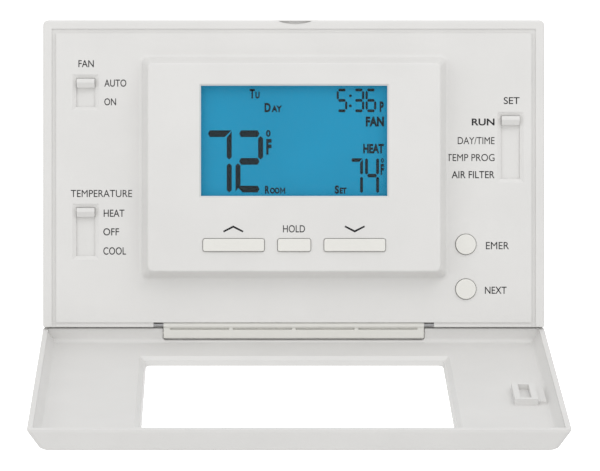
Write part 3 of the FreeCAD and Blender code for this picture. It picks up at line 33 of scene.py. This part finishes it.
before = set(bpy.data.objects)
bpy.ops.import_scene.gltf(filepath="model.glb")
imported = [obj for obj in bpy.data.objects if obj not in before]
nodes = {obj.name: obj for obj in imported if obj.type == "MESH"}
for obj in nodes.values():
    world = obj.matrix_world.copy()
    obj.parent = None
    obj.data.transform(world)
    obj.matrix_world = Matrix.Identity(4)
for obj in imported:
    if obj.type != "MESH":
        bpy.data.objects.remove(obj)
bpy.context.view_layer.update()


# ---------------------------------------------------------------------------------------------
# Materials
# ---------------------------------------------------------------------------------------------
class Surface:
    """A procedural material built on one Principled shader."""

    def __init__(self, name, colour, roughness, metallic=0.0, specular=0.5):
        self.material = bpy.data.materials.new(name)
        self.material.use_nodes = True
        self.nodes = self.material.node_tree.nodes
        self.links = self.material.node_tree.links
        self.shader = self.nodes["Principled BSDF"]
        self.shader.inputs["Base Color"].default_value = (*colour, 1.0)
        self.shader.inputs["Roughness"].default_value = roughness
        self.shader.inputs["Metallic"].default_value = metallic
        self.shader.inputs["Specular IOR Level"].default_value = specular
        self.material.diffuse_color = (*colour, 1.0)
        self.place = self.nodes.new("ShaderNodeTexCoord").outputs["Object"]

    def node(self, kind, **values):
        """A new shader node with the named inputs set."""
        made = self.nodes.new("ShaderNode" + kind)
        for name, value in values.items():
            made.inputs[name.replace("_", " ")].default_value = value
        return made

    def noise(self, scale, detail=3.0, roughness=0.55, stretch=None):
        """A 0 to 1 noise field that is fixed to the object."""
        made = self.node("TexNoise", Scale=scale, Detail=detail, Roughness=roughness)
        source = self.place
        if stretch:
            mapping = self.node("Mapping")
            mapping.inputs["Scale"].default_value = stretch
            self.links.new(self.place, mapping.inputs["Vector"])
            source = mapping.outputs["Vector"]
        self.links.new(source, made.inputs["Vector"])
        return made.outputs["Fac"]

    def ramp(self, factor, stops):
        """Colour that follows a factor through stops, each a position and a colour."""
        made = self.nodes.new("ShaderNodeValToRGB")
        bands = made.color_ramp.elements
        while len(bands) < len(stops):
            bands.new(0.5)
        for band, (place, colour) in zip(bands, stops):
            band.position = place
            band.color = (*colour, 1.0)
        self.links.new(factor, made.inputs["Fac"])
        return made.outputs["Color"]

    def vary_colour(self, factor, low, high, start=0.3, end=0.7):
        """Base colour that drifts between two close tones."""
        self.links.new(self.ramp(factor, [(start, low), (end, high)]), self.shader.inputs["Base Color"])

    def vary_roughness(self, factor, low, high):
        """Roughness that drifts between two values."""
        made = self.node("MapRange")
        made.inputs["To Min"].default_value = low
        made.inputs["To Max"].default_value = high
        self.links.new(factor, made.inputs["Value"])
        self.links.new(made.outputs["Result"], self.shader.inputs["Roughness"])

    def bump(self, height, depth, strength=1.0):
        """Surface relief: height is a 0 to 1 field and depth its size in metres."""
        made = self.node("Bump", Strength=strength, Distance=depth)
        self.links.new(height, made.inputs["Height"])
        self.links.new(made.outputs["Normal"], self.shader.inputs["Normal"])


def tone(colour, factor):
    """The colour made darker or lighter."""
    return tuple(min(1.0, channel * factor) for channel in colour)


def moulded(name, colour, roughness, grain, depth, drift=0.02):
    """Injection-moulded plastic: spark-eroded grain, slow colour drift and uneven sheen."""
    surface = Surface(name, colour, roughness)
    patches = surface.noise(scale=45.0, detail=4.0)
    surface.vary_colour(patches, tone(colour, 1 - drift), tone(colour, 1 + drift))
    sheen = surface.noise(scale=120.0, detail=3.0)
    surface.vary_roughness(sheen, low=roughness - 0.05, high=roughness + 0.06)
    surface.bump(surface.noise(grain, detail=2.0, roughness=0.6), depth)
    return surface


def drawn_metal(name, colour, roughness, stretch):
    """Metal with fine lines along its drawing direction."""
    surface = Surface(name, colour, roughness, metallic=1.0)
    lines = surface.noise(scale=900.0, detail=3.0, roughness=0.6, stretch=stretch)
    patches = surface.noise(scale=150.0, detail=3.0)
    surface.vary_colour(patches, tone(colour, 0.9), tone(colour, 1.08))
    surface.vary_roughness(lines, low=roughness - 0.07, high=roughness + 0.1)
    surface.bump(lines, depth=0.000004)
    return surface


def give(surface, *names):
    """Puts one surface on every slot of the named CAD nodes."""
    for name in names:
        for slot in nodes[name].material_slots:
            slot.material = surface.material


SHELL = (0.72, 0.713, 0.70)
CREAM = (0.765, 0.757, 0.72)
LCD_BLUE = (0.004, 0.20, 0.35)
CARBON = (0.02, 0.02, 0.02)
RUBBER = (0.45, 0.4, 0.42)
BOARD_GREEN = (0.012, 0.11, 0.04)
TRACK_GREEN = (0.03, 0.2, 0.08)
WRAP_BLACK = (0.05, 0.055, 0.065)
WRAP_COPPER = (0.55, 0.3, 0.1)

shell = moulded("shell", SHELL, roughness=0.52, grain=2600.0, depth=0.000012)
# The door uses the shell's colour made 2% darker. This is painted shade for the door's inner side, which
# faces up when the door stands open.
door_shell = moulded("door_shell", tone(SHELL, 0.98), roughness=0.5, grain=2600.0, depth=0.000010)
cream = moulded("cream", CREAM, roughness=0.36, grain=1500.0, depth=0.000003, drift=0.012)
inner_white = moulded("inner_white", (0.74, 0.74, 0.72), roughness=0.48, grain=1800.0, depth=0.000006)
white_frame = moulded("white_frame", (0.78, 0.79, 0.78), roughness=0.4, grain=1800.0, depth=0.000004)
black_plastic = moulded("black_plastic", (0.02, 0.02, 0.022), roughness=0.45, grain=1400.0,
                        depth=0.000006, drift=0.1)
silicone = moulded("silicone", (0.36, 0.37, 0.38), roughness=0.6, grain=800.0, depth=0.000005, drift=0.03)

elastomer = Surface("elastomer", (0.12, 0.12, 0.12), roughness=0.7)
stripes = elastomer.node("TexWave", Scale=1400.0, Distortion=0.2)
elastomer.links.new(elastomer.place, stripes.inputs["Vector"])
elastomer.vary_colour(stripes.outputs["Fac"], CARBON, RUBBER, start=0.4, end=0.6)

steel = drawn_metal("steel", (0.5, 0.5, 0.51), roughness=0.32, stretch=(0.05, 1.0, 1.0))
brass = drawn_metal("brass", (0.75, 0.56, 0.26), roughness=0.3, stretch=(1.0, 1.0, 0.1))
can_metal = drawn_metal("can_metal", (0.62, 0.62, 0.64), roughness=0.28, stretch=(1.0, 0.1, 1.0))
nickel = drawn_metal("nickel", (0.66, 0.65, 0.62), roughness=0.25, stretch=(1.0, 1.0, 0.1))

lens_clear = Surface("lens_clear", (0.3, 0.45, 0.5), roughness=0.06, specular=0.4)
lens_clear.shader.inputs["Alpha"].default_value = 0.03
lens_clear.vary_roughness(lens_clear.noise(scale=60.0), low=0.04, high=0.1)

lit_glass = Surface("lit_glass", LCD_BLUE, roughness=0.3, specular=0.1)
clouds = lit_glass.noise(scale=30.0, detail=2.0)
glow = lit_glass.ramp(clouds, [(0.3, tone(LCD_BLUE, 0.94)), (0.7, tone(LCD_BLUE, 1.05))])
lit_glass.links.new(glow, lit_glass.shader.inputs["Base Color"])
lit_glass.links.new(glow, lit_glass.shader.inputs["Emission Color"])
lit_glass.shader.inputs["Emission Strength"].default_value = 0.4

guide_clear = Surface("guide_clear", (0.55, 0.75, 0.85), roughness=0.2)
guide_clear.shader.inputs["Transmission Weight"].default_value = 0.6
guide_clear.bump(guide_clear.noise(scale=400.0), depth=0.00001)
led_lens = Surface("led_lens", (0.85, 0.9, 0.95), roughness=0.2)
led_lens.bump(led_lens.noise(scale=900.0), depth=0.00001)

board_green = Surface("board_green", BOARD_GREEN, roughness=0.3)
tracks = board_green.node("TexBrick", Scale=260.0, Mortar_Size=0.09)
board_green.links.new(board_green.place, tracks.inputs["Vector"])
board_green.vary_colour(tracks.outputs["Fac"], BOARD_GREEN, TRACK_GREEN)
board_green.bump(board_green.noise(scale=500.0), depth=0.00001)

# Positions along X, in metres, between which the wrap turns from copper to black
COPPER_END = -0.0525
BLACK_START = -0.0515
cell_wrap = Surface("cell_wrap", WRAP_BLACK, roughness=0.25, metallic=0.4)
gradient = cell_wrap.node("SeparateXYZ")
cell_wrap.links.new(cell_wrap.place, gradient.inputs["Vector"])
band = cell_wrap.node("MapRange")
band.inputs["From Min"].default_value = COPPER_END
band.inputs["From Max"].default_value = BLACK_START
cell_wrap.links.new(gradient.outputs["X"], band.inputs["Value"])
cell_wrap.vary_colour(band.outputs["Result"], WRAP_COPPER, WRAP_BLACK, start=0.45, end=0.55)
cell_wrap.bump(cell_wrap.noise(scale=300.0), depth=0.000008)

ink = Surface("ink", (0.022, 0.022, 0.024), roughness=0.6, specular=0.15)
ink.bump(ink.noise(scale=3000.0), depth=0.000004)
segment_ink = Surface("segment_ink", (0.008, 0.008, 0.010), roughness=0.6, specular=0.05)
segment_ink.bump(segment_ink.noise(scale=3000.0), depth=0.000002)

give(shell, "front_housing", "fan_knob", "mode_knob", "program_knob")
give(door_shell, "door")
give(cream, "hinge_leaf", "up_key", "hold_key", "down_key", "emer_key", "next_key")
give(steel, "hinge_pin", "board_screws", "chassis_screws", "terminal_screws")
give(brass, "fan_wiper", "mode_wiper", "program_wiper", "header_pins", "wire_clamps")
give(can_metal, "crystal", "capacitors")
give(nickel, "battery_contacts")
give(silicone, "main_keypad", "side_keypad")
give(lens_clear, "display_lens")
give(lit_glass, "display_glass")
give(guide_clear, "light_guide")
give(elastomer, "contact_strips")
give(white_frame, "display_frame", "terminal_block")
give(led_lens, "backlight_leds")
give(board_green, "main_board")
give(black_plastic, "relays", "processor", "thermistor", "pin_header")
give(inner_white, "rear_chassis", "wall_plate")
give(cell_wrap, "battery_upper", "battery_lower")


# ---------------------------------------------------------------------------------------------
# Flat printed pieces: legends, symbols and display segments
# ---------------------------------------------------------------------------------------------
INK_THICKNESS = 0.02
PRINT_GAP = 0.004

# Size and depth of a font curve before its mesh is stretched to fill its box
FONT_SIZE = 1.0
FONT_DEPTH = 0.004

# Depths of the surfaces that carry print, in millimetres in front of the wall
RIM_PLANE = 24.8
FASCIA_RISE = 0.5
FASCIA_FACE = RIM_PLANE + FASCIA_RISE
BEZEL_FACE = -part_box("front_housing")[0].y / MM
GLASS_FACE = -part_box("display_glass")[0].y / MM


def flat_piece(name, outlines, depth, surface):
    """One thin mesh from polygons in X and Z, in millimetres, that stands just proud of a surface."""
    mesh = bpy.data.meshes.new(name)
    shape = bmesh.new()
    for outline in outlines:
        corners = [shape.verts.new((x * MM, -(depth + PRINT_GAP) * MM, z * MM)) for x, z in outline]
        face = shape.faces.new(corners)
        side = bmesh.ops.extrude_face_region(shape, geom=[face])
        raised = [item for item in side["geom"] if isinstance(item, bmesh.types.BMVert)]
        bmesh.ops.translate(shape, verts=raised, vec=(0, -INK_THICKNESS * MM, 0))
    bmesh.ops.recalc_face_normals(shape, faces=shape.faces[:])
    shape.to_mesh(mesh)
    shape.free()
    piece = bpy.data.objects.new(name, mesh)
    bpy.context.scene.collection.objects.link(piece)
    mesh.materials.append(surface.material)
    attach(piece, "unit")


def letters(name, text, left, right, low, high, depth, surface, weight=0.0):
    """A word that fills a box in X and Z, in millimetres. Weight thickens its strokes, in font sizes."""
    curve = bpy.data.curves.new(name + "_curve", "FONT")
    curve.body = text
    curve.size = FONT_SIZE
    curve.offset = weight
    curve.extrude = FONT_DEPTH
    source = bpy.data.objects.new(name + "_source", curve)
    bpy.context.scene.collection.objects.link(source)
    bpy.context.view_layer.update()
    evaluated = source.evaluated_get(bpy.context.evaluated_depsgraph_get())
    mesh = bpy.data.meshes.new_from_object(evaluated)
    bpy.data.objects.remove(source)
    xs = [vertex.co.x for vertex in mesh.vertices]
    ys = [vertex.co.y for vertex in mesh.vertices]
    zs = [vertex.co.z for vertex in mesh.vertices]
    for vertex in mesh.vertices:
        across = (vertex.co.x - min(xs)) / (max(xs) - min(xs))
        up = (vertex.co.y - min(ys)) / (max(ys) - min(ys))
        out = (vertex.co.z - min(zs)) / (max(zs) - min(zs))
        vertex.co = Vector(((left + across * (right - left)) * MM,
                            -(depth + PRINT_GAP + out * INK_THICKNESS) * MM,
                            (low + up * (high - low)) * MM))
    mesh.materials.clear()
    mesh.materials.append(surface.material)
    mesh.name = name
    piece = bpy.data.objects.new(name, mesh)
    bpy.context.scene.collection.objects.link(piece)
    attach(piece, "unit")


# Legends on the case: name, word, left, right, low, high, weight.
# Words with an M have no weight, because thicker strokes break the font's M.
LEGENDS = (
    ("legend_fan", "FAN", -62.61, -58.14, 31.30, 33.35, 0.006),
    ("legend_auto", "AUTO", -55.08, -48.69, 25.62, 27.72, 0.006),
    ("legend_on", "ON", -55.08, -51.68, 20.20, 22.25, 0.006),
    ("legend_temperature", "TEMPERATURE", -64.82, -47.03, -6.48, -4.38, 0.0),
    ("legend_heat", "HEAT", -55.26, -49.24, -12.20, -10.10, 0.006),
    ("legend_off", "OFF", -55.37, -50.81, -17.62, -15.52, 0.006),
    ("legend_cool", "COOL", -55.37, -48.78, -23.22, -21.05, 0.006),
    ("legend_set", "SET", 61.04, 65.63, 20.56, 22.60, 0.006),
    ("legend_run", "RUN", 51.74, 58.36, 14.34, 16.37, 0.022),
    ("legend_day_time", "DAY/TIME", 47.67, 58.36, 8.90, 11.00, 0.0),
    ("legend_temp_prog", "TEMP PROG", 44.44, 58.36, 3.98, 6.06, 0.0),
    ("legend_air_filter", "AIR FILTER", 45.89, 58.36, -0.98, 1.10, 0.006),
    ("legend_emer", "EMER", 55.86, 62.55, -21.62, -19.52, 0.0),
    ("legend_next", "NEXT", 55.57, 61.85, -34.58, -32.52, 0.006),
)
for name, word, left, right, low, high, weight in LEGENDS:
    letters(name, word, left, right, low, high, FASCIA_FACE, ink, weight)
letters("legend_hold", "HOLD", -3.23, 3.12, -16.75, -14.65, BEZEL_FACE, ink, 0.004)


CHEVRON_WIDTH = 5.9
CHEVRON_STROKE = 0.55

# Shape of an arrow head: its feet, inner corners and inner tip, in strokes, and its inner width as a share
# of the whole
FOOT_INSET = 0.55
INNER_CORNER_STEP = 0.8
INNER_TIP_STEP = 1.15
INNER_SHARE = 0.93


def chevron(centre, low, high, upward):
    """Outline of an open arrow head that points up or down."""
    half = CHEVRON_WIDTH / 2
    inner_half = half * INNER_SHARE
    inset = CHEVRON_STROKE * FOOT_INSET
    tip = high if upward else low
    foot = low + inset if upward else high - inset
    step = -CHEVRON_STROKE if upward else CHEVRON_STROKE
    inner_corner = foot + step * INNER_CORNER_STEP
    return [(centre - half, foot), (centre, tip), (centre + half, foot),
            (centre + inner_half, inner_corner), (centre, tip + step * INNER_TIP_STEP),
            (centre - inner_half, inner_corner)]


flat_piece("up_symbol", [chevron(-17.6, -16.6, -14.75, upward=True)], BEZEL_FACE, ink)
flat_piece("down_symbol", [chevron(17.5, -16.75, -14.9, upward=False)], BEZEL_FACE, ink)

# Words on the display: name, word, left, right, low, high
LCD_WORDS = (
    ("lcd_t", "T", -12.87, -11.35, 22.05, 24.85),
    ("lcd_u", "U", -11.20, -9.95, 22.05, 24.05),
    ("lcd_d", "D", -8.55, -6.75, 18.10, 20.80),
    ("lcd_ay", "AY", -6.50, -3.45, 18.10, 20.05),
    ("lcd_p", "P", 24.83, 26.03, 18.15, 21.25),
    ("lcd_fan", "FAN", 20.80, 26.10, 13.95, 16.85),
    ("lcd_heat", "HEAT", 20.05, 26.05, 6.15, 8.95),
    ("lcd_f", "F", -8.05, -6.50, 5.80, 10.35),
    ("lcd_r", "R", -8.40, -7.10, -5.50, -3.20),
    ("lcd_oo", "OO", -6.95, -4.20, -5.50, -3.75),
    ("lcd_s", "S", 11.80, 13.05, -5.55, -3.10),
    ("lcd_et", "ET", 13.25, 15.25, -5.50, -3.75),
    ("lcd_small_f", "F", 25.10, 26.05, -0.10, 3.10),
)
LCD_WEIGHT = 0.05
for name, word, left, right, low, high in LCD_WORDS:
    letters(name, word, left, right, low, high, GLASS_FACE, segment_ink, LCD_WEIGHT)

# Shape of the display's M: the foot of its valley, as a share of its height, and the depth of the valley's
# strokes, in stems
M_VALLEY = 0.15
M_DROP = 1.9


def letter_m(left, right, low, high, stem):
    """Outline of a capital M with straight stems."""
    middle = (left + right) / 2
    valley = low + (high - low) * M_VALLEY
    drop = stem * M_DROP
    return [(left, low), (left + stem, low), (left + stem, high - drop), (middle, valley),
            (right - stem, high - drop), (right - stem, low), (right, low), (right, high),
            (right - stem, high), (middle, valley + drop), (left + stem, high), (left, high)]


flat_piece("lcd_m", [letter_m(-4.0, -2.55, -5.50, -3.75, stem=0.3)], GLASS_FACE, segment_ink)

# Lit segments of each digit: a is the top, b to f run clockwise from it, and g is the middle
DIGITS = {"2": "abged", "3": "abgcd", "4": "fgbc", "5": "afgcd", "6": "afgedc", "7": "abc"}

# Shape of the segments: the gap at a mitre in millimetres, the points as shares of half a segment's
# thickness, the level segments' inset in stems, and the upright ones' distances in bars
SEGMENT_GAP = 0.12
LEVEL_POINT = 0.55
UPRIGHT_POINT = 0.9
LEVEL_INSET = 0.72
MIDDLE_CLEARANCE = 0.28
END_CLEARANCE = 0.85


def horizontal(left, right, middle, bar, left_mitre=0, right_mitre=0):
    """A level segment with pointed ends, or ends cut at a slant where it meets an upright one.

    A left mitre of -1 and a right mitre of +1 are longer on the upper side.
    """
    half = bar / 2
    point = half * LEVEL_POINT
    if left_mitre:
        start = [(left + half * (1 - left_mitre), middle - half),
                 (left + half * (1 + left_mitre), middle + half)]
    else:
        start = [(left + point, middle - half), (left, middle), (left + point, middle + half)]
    if right_mitre:
        end = [(right - half * (1 - right_mitre), middle + half),
               (right - half * (1 + right_mitre), middle - half)]
    else:
        end = [(right - point, middle + half), (right, middle), (right - point, middle - half)]
    return start + end


def upright(low, high, middle, stem, bar, low_mitre=0, high_mitre=0):
    """An upright segment. A mitre of +1 is longer on its right side and -1 on its left side."""
    half = stem / 2
    point = half * UPRIGHT_POINT
    slant = bar / 2
    if low_mitre:
        foot = [(middle - half, low + slant * (1 + low_mitre)),
                (middle + half, low + slant * (1 - low_mitre))]
    else:
        foot = [(middle - half, low + point), (middle, low), (middle + half, low + point)]
    if high_mitre:
        head = [(middle + half, high - slant * (1 - high_mitre)),
                (middle - half, high - slant * (1 + high_mitre))]
    else:
        head = [(middle + half, high - point), (middle, high), (middle - half, high - point)]
    return foot + head


def digit(value, left, right, low, high, bar, stem, corners=""):
    """Outlines of a seven-segment digit. Corners lists the joints that are mitred: "tr" and "bl"."""
    on = DIGITS[value]
    top_mitred = "tr" in corners
    low_mitred = "bl" in corners
    middle = (low + high) / 2
    inset = stem * LEVEL_INSET
    lower_high = middle - bar * MIDDLE_CLEARANCE
    upper_low = middle + bar * MIDDLE_CLEARANCE
    upper_high = high - bar * END_CLEARANCE if "a" in on else high
    lower_low = low + bar * END_CLEARANCE if "d" in on else low
    outlines = []
    if "a" in on:
        start = left if top_mitred else left + inset
        end = right - SEGMENT_GAP / 2 if top_mitred else right - inset
        outlines.append(horizontal(start, end, high - bar / 2, bar, right_mitre=1 if top_mitred else 0))
    if "g" in on:
        outlines.append(horizontal(left + inset, right - inset, middle, bar))
    if "d" in on:
        # Known fault: this mitre slants against the upright's and overlaps it. It should be +1.
        start = left + SEGMENT_GAP if low_mitred else left + inset
        outlines.append(horizontal(start, right - inset, low + bar / 2, bar,
                                   left_mitre=-1 if low_mitred else 0))
    if "b" in on:
        top = high - SEGMENT_GAP * 2 if top_mitred else upper_high
        outlines.append(upright(upper_low, top, right - stem / 2, stem, bar,
                                high_mitre=1 if top_mitred else 0))
    if "f" in on:
        outlines.append(upright(upper_low, upper_high, left + stem / 2, stem, bar))
    if "c" in on:
        outlines.append(upright(lower_low, lower_high, right - stem / 2, stem, bar))
    if "e" in on:
        base = low + SEGMENT_GAP * 2 if low_mitred else lower_low
        outlines.append(upright(base, lower_high, left + stem / 2, stem, bar,
                                low_mitre=-1 if low_mitred else 0))
    return outlines


RING_STEPS = 20
DOT_SIDES = 12


def ring(centre_x, centre_z, radius_x, radius_z, weight):
    """A degree sign, as short quadrilaterals round an oval."""
    outlines = []
    for step in range(RING_STEPS):
        near = 2 * math.pi * step / RING_STEPS
        far = 2 * math.pi * (step + 1) / RING_STEPS
        outline = []
        for turn, inset in ((near, 0), (far, 0), (far, weight), (near, weight)):
            across = centre_x + math.cos(turn) * (radius_x - inset)
            up = centre_z + math.sin(turn) * (radius_z - inset)
            outline.append((across, up))
        outlines.append(outline)
    return outlines


def dot(centre_x, centre_z, radius):
    """Outline of a round dot."""
    turns = [side * math.pi / (DOT_SIDES / 2) for side in range(DOT_SIDES)]
    return [(centre_x + radius * math.cos(turn), centre_z + radius * math.sin(turn)) for turn in turns]


# Rows of digits on the display: low and high edge, and the thickness of the level and upright segments
ROOM_DIGITS = {"low": -5.15, "high": 12.85, "bar": 1.95, "stem": 1.45}
SET_DIGITS = {"low": -5.30, "high": 4.75, "bar": 1.05, "stem": 0.84}
CLOCK_DIGITS = {"low": 18.10, "high": 24.95, "bar": 0.82, "stem": 0.64}
COLON_X = 16.33
COLON_RADIUS = 0.42

flat_piece("lcd_room_temperature",
           digit("7", -24.95, -18.05, **ROOM_DIGITS, corners="tr")
           + digit("2", -16.95, -8.95, **ROOM_DIGITS, corners="bl")
           + ring(-7.45, 11.95, radius_x=0.68, radius_z=1.0, weight=0.46),
           GLASS_FACE, segment_ink)
flat_piece("lcd_set_temperature",
           digit("7", 16.60, 20.00, **SET_DIGITS, corners="tr")
           + digit("4", 20.60, 24.65, **SET_DIGITS)
           + ring(25.6, 4.1, radius_x=0.46, radius_z=0.66, weight=0.3),
           GLASS_FACE, segment_ink)
flat_piece("lcd_clock",
           digit("5", 12.35, 15.45, **CLOCK_DIGITS)
           + digit("3", 17.25, 20.35, **CLOCK_DIGITS)
           + digit("6", 20.75, 23.85, **CLOCK_DIGITS)
           + [dot(COLON_X, 22.85, COLON_RADIUS), dot(COLON_X, 19.95, COLON_RADIUS)],
           GLASS_FACE, segment_ink)


# ---------------------------------------------------------------------------------------------
# Floor, light and camera
# ---------------------------------------------------------------------------------------------
def plane(name, corners, surface):
    """A flat piece of the stage, which isn't part of the object."""
    mesh = bpy.data.meshes.new(name)
    mesh.from_pydata(corners, [], [(0, 1, 2, 3)])
    piece = bpy.data.objects.new(name, mesh)
    bpy.context.scene.collection.objects.link(piece)
    mesh.materials.append(surface.material)


# Stage, in metres
FLOOR_Z = -0.16
FLOOR_SIDE = 1.2
FLOOR_NEAR = -1.0
FLOOR_FAR = 0.42
BACKDROP_Y = 3.0
BACKDROP_LEFT = -1.2
BACKDROP_RIGHT = 1.6
BACKDROP_LOW = -1.0
BACKDROP_HIGH = 1.0

paper = Surface("paper", (0.82, 0.82, 0.815), roughness=0.9)
paper.bump(paper.noise(scale=60.0), depth=0.0002)
plane("floor", [(-FLOOR_SIDE, FLOOR_NEAR, FLOOR_Z), (FLOOR_SIDE, FLOOR_NEAR, FLOOR_Z),
                (FLOOR_SIDE, FLOOR_FAR, FLOOR_Z), (-FLOOR_SIDE, FLOOR_FAR, FLOOR_Z)], paper)
white_card = Surface("white_card", (0.9, 0.9, 0.9), roughness=1.0)
white_card.shader.inputs["Emission Color"].default_value = (1.0, 1.0, 1.0, 1.0)
white_card.shader.inputs["Emission Strength"].default_value = 1.0
plane("backdrop", [(BACKDROP_LEFT, BACKDROP_Y, BACKDROP_LOW), (BACKDROP_RIGHT, BACKDROP_Y, BACKDROP_LOW),
                   (BACKDROP_RIGHT, BACKDROP_Y, BACKDROP_HIGH), (BACKDROP_LEFT, BACKDROP_Y, BACKDROP_HIGH)],
      white_card)

WORLD_STRENGTH = 0.9
world = bpy.data.worlds.new("studio")
bpy.context.scene.world = world
world.use_nodes = True
world.node_tree.nodes["Background"].inputs["Color"].default_value = (1.0, 1.0, 1.0, 1.0)
world.node_tree.nodes["Background"].inputs["Strength"].default_value = WORLD_STRENGTH


def softbox(name, place, target, width, height, power):
    """A rectangular light that faces its target. Power is in watts."""
    light = bpy.data.lights.new(name, "AREA")
    light.shape = "RECTANGLE"
    light.size = width
    light.size_y = height
    light.energy = power
    lamp = bpy.data.objects.new(name, light)
    bpy.context.scene.collection.objects.link(lamp)
    lamp.location = place
    lamp.rotation_euler = (Vector(target) - Vector(place)).to_track_quat("-Z", "Y").to_euler()


softbox("key_light", place=(0.4, -0.85, 0.85), target=(0, -0.03, 0), width=0.9, height=0.7, power=2.6)
softbox("fill_light", place=(-0.7, -1.0, 0.1), target=(0, -0.03, -0.02), width=1.0, height=0.8, power=1.8)

# Camera: places in metres, lens and sensor in millimetres, shifts as shares of the sensor's width
CAMERA_DISTANCE = 1.05
CAMERA_X = -0.01843
CAMERA_Z = -0.01746
SENSOR_WIDTH = 36.0
FOCAL_LENGTH = 216.6
SHIFT_X = 0.116
SHIFT_Y = -0.001
NEAR_CLIP = 0.01
camera_data = bpy.data.cameras.new("camera")
camera = bpy.data.objects.new("camera", camera_data)
bpy.context.scene.collection.objects.link(camera)
camera_data.sensor_width = SENSOR_WIDTH
camera_data.lens = FOCAL_LENGTH
camera_data.shift_x = SHIFT_X
camera_data.shift_y = SHIFT_Y
camera_data.clip_start = NEAR_CLIP
camera.location = (CAMERA_X, -RIM_PLANE * MM - CAMERA_DISTANCE, CAMERA_Z)
camera.rotation_euler = (math.radians(90), 0, 0)
bpy.context.scene.camera = camera
bpy.context.scene.view_settings.view_transform = "Standard"
